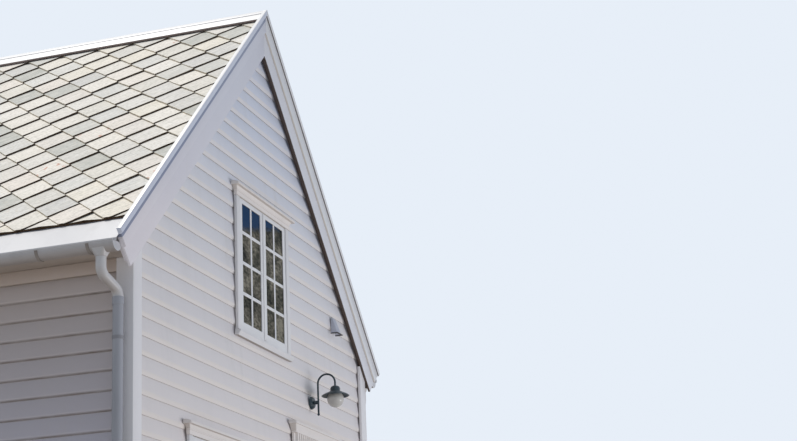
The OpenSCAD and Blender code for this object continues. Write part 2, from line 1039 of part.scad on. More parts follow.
// Wall plate, boss and gooseneck arm
module lamp_bracket() {
    arm_low = -110;
    color("darkslategray")
        at_lamp()
            union() {
                rotate([90, 0, 0])
                    cylinder(d1 = lamp_plate_d, d2 = lamp_plate_d - 26, h = lamp_plate_t, $fn = 28);
                rotate([90, 0, 0])
                    cylinder(d = 34, h = lamp_arm_out, $fn = 16);
                translate([0, -lamp_arm_out, arm_low])
                    cylinder(d = lamp_tube_d, h = arc_z - arm_low, $fn = 12);
                translate([0, -lamp_arm_out, arm_low - 4])
                    sphere(d = lamp_tube_d + 8, $fn = 12);
                translate([0, -lamp_arm_out - lamp_arc_r, arc_z])
                    rotate([90, 0, 90])
                        rotate_extrude(angle = 180, $fn = 32)
                            translate([lamp_arc_r, 0])
                                circle(d = lamp_tube_d, $fn = 12);
                translate([0, -lamp_arm_out - 2 * lamp_arc_r, arc_z - 32])
                    cylinder(d = lamp_tube_d, h = 32, $fn = 12);
            }
}

// Spun shade: domed neck over a shallow flared brim
module lamp_shade() {
    r = shade_d / 2;
    neck = neck_d / 2;
    t = 4;
    color("darkslategray")
        at_lamp()
            translate([0, -lamp_arm_out - 2 * lamp_arc_r, arc_z - 32 - joint])
                rotate_extrude($fn = 32)
                    polygon([
                        [0, 0], [16, 0], [neck - 8, -10], [neck, -26], [neck, -52],
                        [neck + 30, -66], [r - 18, -82], [r, -96],
                        [r - 3, -99], [r - 20, -87], [neck + 28, -71], [neck - t, -58],
                        [neck - t, -28], [0, -28]]);
}

module lamp_globe() {
    color("ivory")
        at_lamp()
            translate([0, -lamp_arm_out - 2 * lamp_arc_r, arc_z - 60 - 2 * joint])
                rotate_extrude($fn = 24)
                    polygon([
                        [0, 0], [28, 0], [30, -24],
                        for (a = [60 : -15 : -90])
                            [globe_r * cos(a), -globe_r - 20 + globe_r * sin(a)]]);
}

// Vent hood that leans out from the wall to an open foot with a folded lip
module vent_hood() {
    t = 4;
    lip = 10;
    taper = 46;
    lean = vent_out - 14;
    color("gray")
        translate([vent_x, -half_d, vent_z])
            difference() {
                union() {
                    flared(vent_w, vent_out, 0, vent_w - taper, vent_out - lean, vent_h);
                    flared(vent_w + 2 * lip, vent_out + lip, 0,
                        vent_w + 2 * lip, vent_out + lip, 9);
                }
                translate([0, 0, -1])
                    flared(vent_w - 2 * t, vent_out - t, 0,
                        vent_w - taper - 2 * t, vent_out - lean - t, vent_h - t);
            }
}

// Moves a node from the middle of the ridge to the origin at the front plinth wall
module set_out() {
    translate([0, half_d - plinth_inset - plinth_t / 2, 0])
        children();
}

set_out() plinth();
set_out() front_steps();
set_out() ground_floor();
set_out() attic_floor();
set_out() front_wall();
set_out() front_gable();
set_out() back_wall();
set_out() back_gable();
set_out() left_wall();
set_out() right_wall();
set_out() roof_deck_left();
set_out() roof_deck_right();
set_out() slates_left();
set_out() slates_right();
set_out() ridge_boards();
set_out() front_left_inner_board();
set_out() front_right_inner_board();
set_out() front_left_outer_board();
set_out() front_right_outer_board();
set_out() front_left_verge_cap();
set_out() front_right_verge_cap();
set_out() back_inner_boards();
set_out() back_outer_boards();
set_out() back_verge_caps();
set_out() soffits();
set_out() fascias();
set_out() friezes();
set_out() eave_aprons();
set_out() gutter_left();
set_out() gutter_right();
set_out() gutter_hooks();
set_out() gutter_outlets();
set_out() swan_necks();
set_out() downpipes();
set_out() pipe_clips();
set_out() corner_boards();
set_out() window_frames();
set_out() window_casings();
set_out() window_heads();
set_out() window_sills();
set_out() left_sashes();
set_out() right_sashes();
set_out() window_glass();
set_out() door_frame();
set_out() door_casings();
set_out() door_head();
set_out() door_leaf();
set_out() lamp_bracket();
set_out() lamp_shade();
set_out() lamp_globe();
set_out() vent_hood();
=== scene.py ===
"""White timber house wing under a slate gable roof: the dressed model.

Lengths are metres: X runs along the gable front, Y into the house and Z up. The walls,
slates and plinth are drawn about the middle of the ridge, and House.set_out moves them
into the part's frame, whose origin is under the front plinth wall.
"""
import logging
import math
import random
from collections.abc import Mapping, Sequence
from dataclasses import dataclass, field
from enum import Enum
from typing import Any

import bmesh
import bpy
from mathutils import Matrix, Vector


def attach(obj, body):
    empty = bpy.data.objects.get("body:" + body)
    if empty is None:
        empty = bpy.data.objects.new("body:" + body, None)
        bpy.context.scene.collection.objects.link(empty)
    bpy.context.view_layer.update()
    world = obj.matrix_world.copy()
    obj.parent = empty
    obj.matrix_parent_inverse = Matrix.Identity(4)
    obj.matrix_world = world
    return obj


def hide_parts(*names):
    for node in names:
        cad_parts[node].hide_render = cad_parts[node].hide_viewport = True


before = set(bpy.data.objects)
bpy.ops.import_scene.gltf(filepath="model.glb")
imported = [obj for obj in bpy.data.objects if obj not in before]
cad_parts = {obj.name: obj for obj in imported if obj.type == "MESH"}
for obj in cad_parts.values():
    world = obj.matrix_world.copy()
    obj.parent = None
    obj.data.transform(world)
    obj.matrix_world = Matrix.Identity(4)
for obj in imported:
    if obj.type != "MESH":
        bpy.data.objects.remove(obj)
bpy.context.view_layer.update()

LOG = logging.getLogger("house_wing")

Colour = tuple[float, float, float]
Point = tuple[float, float, float]
Flat = tuple[float, float]
Socket = bpy.types.NodeSocket
Node = bpy.types.Node
Body = bpy.types.Object

MERGE_GAP = 2e-5
FLAT_TURN = math.radians(1.5)
HALF_ROOT = math.sqrt(0.5)


@dataclass(frozen=True)
class House:
    """Sizes that several sub-assemblies share, in metres."""

    half_w: float = 2.590
    half_d: float = 2.700
    wall_t: float = 0.200
    plinth_z: float = 0.600
    split_z: float = 3.300
    slate_z: float = 4.590
    ridge_z: float = 7.180
    deck_under: float = 0.125
    course: float = 0.150
    front_lap_z: float = 0.600
    side_lap_z: float = 0.6088
    lap_depth: float = 0.017
    lap_back: float = 0.005
    lap_gap: float = 0.0003
    slate_end: float = 2.749
    plinth_inset: float = 0.015
    plinth_t: float = 0.300

    @property
    def set_out(self) -> Matrix:
        """The move from the middle of the ridge to the part's own origin."""
        return Matrix.Translation((0.0, self.half_d - self.plinth_inset - self.plinth_t / 2, 0.0))

    @property
    def core_face(self) -> float:
        """Depth of the walls' timber core behind the cladding's plane."""
        return self.lap_back + self.lap_depth + self.lap_gap

    def slope_z(self, out: float, over: float) -> float:
        """Height of a plane over the slates' own, at a distance outwards from the side wall's face."""
        return self.slate_z - out + over * math.sqrt(2)


HOUSE = House()


class Side(Enum):
    """The two long sides of the wing."""

    LEFT = -1
    RIGHT = 1

    @property
    def turn(self) -> Matrix:
        """The turn that carries the left side onto this one."""
        return Matrix.Rotation(math.pi if self is Side.RIGHT else 0.0, 4, "Z")


class End(Enum):
    """The two gable ends, with their turn about Z."""

    FRONT = 0
    BACK = 180

    @property
    def turn(self) -> Matrix:
        """The turn that carries the front end onto this one."""
        return Matrix.Rotation(math.radians(self.value), 4, "Z")


class Grain(Enum):
    """How a board lies: its turn about Y in degrees and its stretch along each axis."""

    ALONG_X = (0, (0.06, 1.0, 1.0))
    ALONG_Y = (0, (1.0, 0.06, 1.0))
    UPRIGHT = (0, (1.0, 1.0, 0.06))
    LEFT_SLOPE = (45, (0.06, 1.0, 1.0))
    RIGHT_SLOPE = (-45, (0.06, 1.0, 1.0))


def opaque(colour: Colour) -> tuple[float, float, float, float]:
    """The colour with full cover."""
    return (*colour, 1.0)


def scaled(colour: Colour, share: float, lift: float = 0.0) -> Colour:
    """The colour made darker or lighter, no brighter than white."""
    return tuple(min(1.0, part * share + lift) for part in colour)


class Graph:
    """Adds nodes to a tree and joins them."""

    def __init__(self, tree: bpy.types.NodeTree) -> None:
        """Keeps the tree that the nodes go into."""
        self.tree = tree

    def feed(self, socket: Socket, value: Any) -> None:
        """Links a socket or a node to an input, or sets the input's own value.

        Args:
            socket: the input.
            value: a socket, a node, or a plain value.
        """
        if isinstance(value, Node):
            value = value.outputs[0]
        if isinstance(value, Socket):
            self.tree.links.new(value, socket)
        else:
            socket.default_value = value

    def node(self, kind: str, inputs: Mapping[Any, Any] | None = None, **settings: Any) -> Node:
        """Adds one node.

        Args:
            kind: the node's type name.
            inputs: values by input name or number.
            settings: the node's own properties.

        Returns:
            The new node.
        """
        made = self.tree.nodes.new(kind)
        for key, value in settings.items():
            setattr(made, key, value)
        for key, value in (inputs or {}).items():
            self.feed(made.inputs[key], value)
        return made

    def math(self, operation: str, *values: Any) -> Socket:
        """Adds a Math node with these operands and returns its result."""
        return self.node("ShaderNodeMath", dict(enumerate(values)), operation=operation).outputs[0]

    def plus(self, first: Any, second: Any) -> Socket:
        """The sum of two values."""
        return self.math("ADD", first, second)

    def less(self, first: Any, second: Any) -> Socket:
        """The first value less the second."""
        return self.math("SUBTRACT", first, second)

    def times(self, first: Any, second: Any) -> Socket:
        """The product of two values."""
        return self.math("MULTIPLY", first, second)

    def over(self, first: Any, second: Any) -> Socket:
        """The first value divided by the second."""
        return self.math("DIVIDE", first, second)

    def vector(self, operation: str, inputs: Mapping[Any, Any]) -> Socket:
        """Adds a Vector Math node and returns its vector."""
        return self.node("ShaderNodeVectorMath", inputs, operation=operation).outputs[0]

    def split(self, value: Any) -> Any:
        """The outputs X, Y and Z of a vector."""
        return self.node("ShaderNodeSeparateXYZ", {0: value}).outputs

    def point(self, x: Any = 0.0, y: Any = 0.0, z: Any = 0.0) -> Socket:
        """A vector from its three parts."""
        return self.node("ShaderNodeCombineXYZ", {0: x, 1: y, 2: z}).outputs[0]

    def mix(self, share: Any, first: Any, second: Any) -> Socket:
        """Mixes two colours by a share and returns the colour."""
        return self.node("ShaderNodeMix", {0: share, 6: first, 7: second}, data_type="RGBA").outputs[2]

    def tint(self, colour: Any, share: Any, strength: float, tint: Colour) -> Socket:
        """Lays a tint over a colour where the share is high, and covers it there by the strength."""
        return self.mix(self.times(share, strength), colour, opaque(tint))

    def ramp(self, share: Any, stops: Sequence[tuple[float, Colour]]) -> Socket:
        """Reads a colour ramp.

        Args:
            share: where to read it, from 0 to 1.
            stops: the ramp's places and colours.

        Returns:
            The colour's socket.
        """
        made = self.node("ShaderNodeValToRGB", {0: share})
        elements = made.color_ramp.elements
        while len(elements) < len(stops):
            elements.new(0.5)
        for element, (place, colour) in zip(elements, stops):
            element.position = place
            element.color = opaque(colour)
        return made.outputs[0]

    def band(self, share: Any, low: float, high: float) -> Socket:
        """Rises from 0 at low to 1 at high, and stays there."""
        return self.node("ShaderNodeMapRange", {0: share, 1: low, 2: high}).outputs[0]

    def span(self, share: Any, low: float, high: float) -> Socket:
        """Carries 0 to 1 onto low to high."""
        return self.node("ShaderNodeMapRange", {0: share, 3: low, 4: high}).outputs[0]


class Coat(Graph):
    """The nodes of one material: its shader, its output and the object's coordinates."""

    def __init__(self, tree: bpy.types.NodeTree, colour: Colour, roughness: float) -> None:
        """Makes the shader with a plain colour and roughness.

        Args:
            tree: the material's node tree.
            colour: the plain colour.
            roughness: the plain roughness.
        """
        super().__init__(tree)
        self.shader = self.node("ShaderNodeBsdfPrincipled", {"Base Color": opaque(colour), "Roughness": roughness})
        self.node("ShaderNodeOutputMaterial", {"Surface": self.shader})
        self.place = self.node("ShaderNodeTexCoord").outputs["Object"]

    def noise(self, scale: float, detail: float = 3.0, stretch: Point = (1, 1, 1), turn: float = 0.0,
              place: Socket | None = None) -> Socket:
        """Reads a noise pattern.

        Args:
            scale: features per metre.
            detail: octaves.
            stretch: scale along each axis.
            turn: turn about Y in degrees.
            place: the coordinates, or None for the object's own.

        Returns:
            The noise from 0 to 1.
        """
        mapped = self.node("ShaderNodeMapping", {"Vector": self.place if place is None else place,
                                                 "Scale": stretch, "Rotation": (0, math.radians(turn), 0)})
        return self.node("ShaderNodeTexNoise", {"Vector": mapped, "Scale": scale, "Detail": detail}).outputs[0]

    def height(self) -> Socket:
        """Height over the ground."""
        return self.split(self.place)["Z"]

    def tone(self) -> Socket:
        """The board's, slate's or stone's own tone, from 0 to 1."""
        return self.node("ShaderNodeAttribute", attribute_name="tone").outputs["Fac"]

    def underside(self, first: float, full: float) -> Socket:
        """Is 0 up to a downward share of the face's normal, and 1 from a second one on, where painted shade goes."""
        normal = self.node("ShaderNodeNewGeometry").outputs["True Normal"]
        return self.band(self.times(self.split(normal)["Z"], -1.0), first, full)

    def lay(self, colour: Any, height: Any, strength: float, distance: float, roughness: Any = None) -> None:
        """Puts a pattern on the shader.

        Args:
            colour: the surface's colour.
            height: its relief, from 0 to 1.
            strength: how much of the relief shows.
            distance: the relief's depth in metres.
            roughness: its roughness, or None to keep the shader's.
        """
        self.feed(self.shader.inputs["Base Color"], colour)
        if roughness is not None:
            self.feed(self.shader.inputs["Roughness"], roughness)
        self.feed(self.shader.inputs["Normal"], self.node(
            "ShaderNodeBump", {"Height": height, "Strength": strength, "Distance": distance}))


@dataclass(frozen=True)
class Finish:
    """A surface finish, built as one material under its own name."""

    name: str
    colour: Colour
    roughness: float = 0.5

    def material(self) -> bpy.types.Material:
        """The finish's material, made the first time it is asked for."""
        return bpy.data.materials.get(self.name) or self.build()

    def build(self) -> bpy.types.Material:
        """Makes the material.

        Returns:
            The material.
        """
        made = bpy.data.materials.new(self.name)
        made.use_nodes = True
        made.node_tree.nodes.clear()
        self.paint(Coat(made.node_tree, self.colour, self.roughness))
        return made

    def paint(self, coat: Coat) -> None:
        """Adds the finish's own pattern; a plain finish has none."""


@dataclass(frozen=True)
class PaintedTimber(Finish):
    """White paint on boards, with brushed grain and grey weathering, and a band of painted light and shade along each
    lap's lower edge: lighter and warmer painted bounce light on the gable ends, dark painted shade under the laps on
    the sides.

    The cap line is a depth under the ridge's plane where a strip of painted shadow falls under the verge cap, and a
    ramp by height gives the ground colour as painted light that changes up the wall.
    """

    grain: Grain = Grain.ALONG_X
    lap_z: float | None = None
    soiling: float = 0.35
    weathered: Colour = (0.60, 0.585, 0.56)
    fibre_tint: Colour = (0.62, 0.61, 0.60)
    board_tint: Colour = (0.60, 0.60, 0.62)
    # Painted light and shade along each lap's lower edge; by default a lighter, warmer painted bounce light.
    lap_light_and_shade: Colour = (0.87, 0.80, 0.715)
    lap_light_and_shade_share: float = 0.58
    lap_light_and_shade_band: Flat = (0.20, 0.29)
    # A strip of painted shadow under the verge cap, at a depth under the ridge's plane.
    cap_line: float | None = None
    cap_strip: Flat = (0.015, 0.010)
    cap_shadow: Colour = (0.17, 0.21, 0.33)
    # Painted shade on faces that point down.
    underside_shade_from: Flat = (0.75, 0.95)
    underside_shade_share: float = 0.85
    under: Colour = (0.30, 0.24, 0.19)
    # A band under the eave with painted warm shade.
    eave_z: Flat | None = None
    eave_shade: Colour = (0.56, 0.455, 0.38)
    # Ground colours by height, painted light.
    painted_light_by_height: tuple[tuple[float, Colour], ...] = ()

    def paint(self, coat: Coat) -> None:
        """Adds grain, weathering and the painted light and shade: by height, under the eave, along each lap's lower
        edge, under the verge cap and on faces that point down.

        Args:
            coat: the material's nodes.
        """
        turn, stretch = self.grain.value
        fibre = coat.noise(140.0, 4.0, stretch, turn)
        patches = coat.noise(1.6, 4.0)
        streaks = coat.noise(9.0, 3.0, (1.0, 1.0, 0.08))
        worn = coat.times(coat.band(streaks, 0.45, 0.75), coat.band(patches, 0.4, 0.7))
        ground: Any = opaque(self.colour)
        # A ramp by height paints the light that changes up the wall.
        if self.painted_light_by_height:
            ground = coat.ramp(coat.over(coat.height(), HOUSE.ridge_z),
                               [(level / HOUSE.ridge_z, tone) for level, tone in self.painted_light_by_height])
        colour = coat.tint(ground, worn, self.soiling, self.weathered)
        colour = coat.tint(colour, coat.band(fibre, 0.55, 0.75), 0.10, self.fibre_tint)
        # Painted warm shade under the eave, made uneven by the patches' noise.
        if self.eave_z is not None:
            eave_shade_height = coat.plus(coat.height(), coat.times(patches, 0.3))
            colour = coat.tint(colour, coat.band(eave_shade_height, *self.eave_z), 0.75, self.eave_shade)
        if self.lap_z is not None:
            # Painted light and shade along each lap's lower edge.
            colour = coat.tint(colour, self.lap_foot(coat), self.lap_light_and_shade_share, self.lap_light_and_shade)
            colour = coat.tint(colour, coat.tone(), 0.10, self.board_tint)
        # Painted shadow in a strip under the verge cap's lip.
        if self.cap_line is not None:
            colour = coat.tint(colour, self.under_cap(coat), 0.85, self.cap_shadow)
        # Painted shade on faces that point down.
        colour = coat.tint(colour, coat.underside(*self.underside_shade_from), self.underside_shade_share, self.under)
        coat.lay(colour, fibre, 0.22, 0.0008, coat.span(patches, self.roughness - 0.08, self.roughness + 0.1))

    def lap_foot(self, coat: Coat) -> Socket:
        """Is high along each board's lower edge, and uneven from place to place.

        Args:
            coat: the material's nodes.

        Returns:
            The share of the painted light and shade.
        """
        below = 6.0 * HOUSE.course
        share = coat.math("FRACT", coat.over(coat.less(coat.height(), self.lap_z - below), HOUSE.course))
        uneven = coat.node("ShaderNodeMapRange", {0: coat.noise(5.0), 1: 0.3, 2: 0.7, 3: 0.55, 4: 1.0}).outputs[0]
        return coat.times(coat.less(1.0, coat.band(share, *self.lap_light_and_shade_band)), uneven)

    def under_cap(self, coat: Coat) -> Socket:
        """Is 1 on the narrow strip along the foot of the verge cap where the painted shadow falls.

        Args:
            coat: the material's nodes.

        Returns:
            The share of the painted shadow.
        """
        parts = coat.split(coat.place)
        over = coat.less(coat.plus(parts["Z"], coat.math("ABSOLUTE", parts["X"])), HOUSE.ridge_z)
        depth = coat.times(over, HALF_ROOT)
        return coat.band(depth, self.cap_line - self.cap_strip[0], self.cap_line - self.cap_strip[1])


@dataclass(frozen=True)
class BareTimber(Finish):
    """Unpainted boards and joists, brown with darker grain."""

    grain: Grain = Grain.ALONG_Y
    patch_tint: Colour = (0.25, 0.19, 0.13)

    def paint(self, coat: Coat) -> None:
        """Adds the grain and the change from board to board.

        Args:
            coat: the material's nodes.
        """
        turn, stretch = self.grain.value
        fibre = coat.noise(60.0, 5.0, stretch, turn)
        colour = coat.ramp(fibre, [(0.3, scaled(self.colour, 0.55)), (0.6, self.colour),
                                   (0.8, scaled(self.colour, 1.25))])
        coat.lay(coat.tint(colour, coat.noise(3.0), 0.3, self.patch_tint), fibre, 0.3, 0.001)


@dataclass(frozen=True)
class Slate(Finish):
    """Weathered pale slate: each slate has its own tint, with cleavage ripples and lichen."""

    tints: tuple[Colour, ...] = (
        (0.37, 0.38, 0.34), (0.48, 0.49, 0.455), (0.78, 0.75, 0.69), (0.70, 0.67, 0.59),
        (0.54, 0.54, 0.52), (0.75, 0.72, 0.66), (0.77, 0.72, 0.61), (0.80, 0.77, 0.71),
        (0.61, 0.61, 0.58), (0.76, 0.695, 0.62), (0.79, 0.75, 0.68))
    mottle_tint: Colour = (0.72, 0.69, 0.62)
    dark_streak: Colour = (0.46, 0.47, 0.42)
    pale_streak: Colour = (0.86, 0.84, 0.80)
    speck_tint: Colour = (0.34, 0.34, 0.31)
    lichen_tint: Colour = (0.52, 0.45, 0.36)
    rust_tint: Colour = (0.50, 0.20, 0.12)

    def paint(self, coat: Coat) -> None:
        """Adds the slates' tints, mottling, lichen, rust and relief.

        Args:
            coat: the material's nodes.
        """
        tone = coat.tone()
        last = len(self.tints) - 1
        colour = coat.ramp(tone, [(number / last, tint) for number, tint in enumerate(self.tints)])
        mottle = coat.noise(14.0, 5.0)
        fine = coat.noise(70.0, 4.0, (1.0, 0.5, 1.0))
        leaf = coat.node("ShaderNodeAttribute", attribute_name="leaf").outputs["Vector"]
        own = coat.vector("ADD", {0: leaf, 1: coat.point(z=coat.times(tone, 9.0))})
        streaks = coat.noise(48.0, 4.0, (0.10, 1.0, 1.0), place=own)
        colour = coat.tint(colour, coat.band(mottle, 0.40, 0.70), 0.34, self.mottle_tint)
        colour = coat.tint(colour, coat.band(streaks, 0.50, 0.66), 0.34, self.dark_streak)
        colour = coat.tint(colour, coat.band(streaks, 0.50, 0.34), 0.30, self.pale_streak)
        colour = coat.tint(colour, coat.band(fine, 0.48, 0.66), 0.38, self.speck_tint)
        lichen = coat.times(coat.band(coat.noise(28.0, 5.0), 0.60, 0.68), coat.band(coat.noise(2.3), 0.45, 0.60))
        colour = coat.tint(colour, lichen, 0.45, self.lichen_tint)
        rust = coat.times(coat.math("GREATER_THAN", tone, 0.97), coat.band(mottle, 0.60, 0.66))
        colour = coat.tint(colour, rust, 0.8, self.rust_tint)
        coat.lay(colour, coat.plus(streaks, coat.times(mottle, 1.5)), 0.5, 0.003, coat.span(fine, 0.55, 0.8))


@dataclass(frozen=True)
class BrokenEdge(Finish):
    """The rough broken edge of a slate, with light and dark layers in one colour, which is painted shade on some edges
    and painted light on others.
    """

    def paint(self, coat: Coat) -> None:
        """Adds light and dark layers and a rough relief.

        Args:
            coat: the material's nodes.
        """
        layers = coat.noise(60.0, 4.0)
        coat.lay(coat.ramp(layers, [(0.35, scaled(self.colour, 0.55)), (0.55, self.colour),
                                    (0.75, scaled(self.colour, 1.7))]), layers, 0.6, 0.003)


@dataclass(frozen=True)
class Sheet(Finish):
    """Painted sheet metal with faint runs and dust, painted shade on faces that point down, and a foot height below
    which a dark band of painted shade lies.
    """

    soiling: float = 0.3
    # Painted shade on faces that point down.
    underside_shade_from: Flat = (0.0, 1.0)
    underside_shade_share: float = 0.6
    under: Colour = (0.30, 0.26, 0.22)
    # Below the foot height a dark band of painted shade.
    foot_z: float | None = None
    foot_soft: float = 0.004
    foot_shade: Colour = (0.035, 0.030, 0.026)

    def paint(self, coat: Coat) -> None:
        """Adds runs, dust, painted shade and a slight ripple.

        Args:
            coat: the material's nodes.
        """
        runs = coat.noise(7.0, 4.0, (1.0, 1.0, 0.15))
        dust = coat.noise(2.4, 3.0)
        share = coat.times(coat.band(runs, 0.48, 0.72), coat.band(dust, 0.35, 0.65))
        colour = coat.tint(opaque(self.colour), share, self.soiling, scaled(self.colour, 0.62))
        # Painted shade on faces that point down.
        colour = coat.tint(colour, coat.underside(*self.underside_shade_from), self.underside_shade_share, self.under)
        # A dark band of painted shade below the foot height.
        if self.foot_z is not None:
            below = coat.less(1.0, coat.band(coat.height(), self.foot_z, self.foot_z + self.foot_soft))
            colour = coat.tint(colour, below, 0.92, self.foot_shade)
        coat.lay(colour, coat.noise(160.0, 3.0), 0.12, 0.0005,
                 coat.span(dust, self.roughness - 0.08, self.roughness + 0.12))


@dataclass(frozen=True)
class Enamel(Finish):
    """Glossy stove enamel, worn dull in places."""

    def paint(self, coat: Coat) -> None:
        """Adds dull patches and fine orange peel.

        Args:
            coat: the material's nodes.
        """
        patches = coat.noise(22.0, 4.0)
        colour = coat.tint(opaque(self.colour), coat.band(patches, 0.45, 0.75), 0.35, scaled(self.colour, 2.2, 0.02))
        coat.lay(colour, coat.noise(420.0, 2.0), 0.06, 0.0004,
                 coat.span(patches, self.roughness, self.roughness + 0.25))


@dataclass(frozen=True)
class Stone(Finish):
    """Rough dressed stone, each block with its own tint."""

    damp: Colour = (0.20, 0.195, 0.18)
    speck: Colour = (0.62, 0.60, 0.56)

    def paint(self, coat: Coat) -> None:
        """Adds the blocks' tints, grain and pitting.

        Args:
            coat: the material's nodes.
        """
        coarse = coat.noise(9.0, 6.0)
        grains = coat.noise(180.0, 3.0)
        colour = coat.mix(coat.tone(), opaque(scaled(self.colour, 0.72)), opaque(scaled(self.colour, 1.25)))
        colour = coat.tint(colour, coat.band(coarse, 0.4, 0.7), 0.45, self.damp)
        colour = coat.tint(colour, coat.band(grains, 0.5, 0.7), 0.35, self.speck)
        coat.lay(colour, coat.plus(coarse, coat.times(grains, 0.3)), 0.7, 0.006)


@dataclass(frozen=True)
class Pane(Finish):
    """Old window glass over a dark room, with a painted reflection: mottled below and sky blue along the top of the
    gable's windows.
    """

    # The mottled tones of a painted reflection of the surroundings.
    mirrored_mottles: tuple[tuple[float, Colour], ...] = (
        (0.41, (0.012, 0.014, 0.010)), (0.47, (0.060, 0.058, 0.040)),
        (0.53, (0.115, 0.106, 0.080)), (0.60, (0.27, 0.25, 0.19)))
    # Painted reflection of the sky.
    sky_reflection: Colour = (0.002, 0.040, 0.120)
    blue_z: Flat = (5.10, 5.16)
    blue_top: float = 5.4
    blue_slant: float = 0.26
    blue_wave: float = 0.12
    bend: float = 1.16
    shine: float = 0.1

    def paint(self, coat: Coat) -> None:
        """Adds the painted reflection's mottling and sky blue, and the glass's slight waves.

        Args:
            coat: the material's nodes.
        """
        broad = coat.noise(3.6, 5.0, (1.0, 1.0, 1.2))
        fine = coat.noise(17.0, 5.0, (1.0, 1.0, 2.2))
        # Painted reflection, mottled.
        colour = coat.ramp(coat.plus(coat.times(broad, 0.6), coat.times(fine, 0.4)), self.mirrored_mottles)
        parts = coat.split(coat.place)
        # A slanted band of painted sky reflection along the top of the gable's windows.
        sloped = coat.less(parts["Z"], coat.times(parts["X"], self.blue_slant))
        wavy = coat.plus(sloped, coat.times(fine, self.blue_wave))
        high = coat.times(coat.band(wavy, *self.blue_z), coat.math("LESS_THAN", parts["Z"], self.blue_top))
        coat.shader.inputs["IOR"].default_value = self.bend
        coat.shader.inputs["Specular IOR Level"].default_value = self.shine
        coat.lay(coat.tint(colour, high, 0.94, self.sky_reflection), coat.noise(6.0, 1.0), 0.05, 0.004)


@dataclass(frozen=True)
class Opal(Finish):
    """Milky lamp glass."""

    def paint(self, coat: Coat) -> None:
        """Adds the milk's faint clouds and the glow of light inside it.

        Args:
            coat: the material's nodes.
        """
        clouds = coat.band(coat.noise(30.0, 3.0), 0.3, 0.8)
        coat.feed(coat.shader.inputs["Base Color"],
                  coat.mix(clouds, opaque(self.colour), opaque(scaled(self.colour, 0.9))))
        coat.shader.inputs["Subsurface Weight"].default_value = 0.3
        coat.shader.inputs["Subsurface Radius"].default_value = (0.02, 0.02, 0.02)


PAINT = (0.80, 0.79, 0.79)


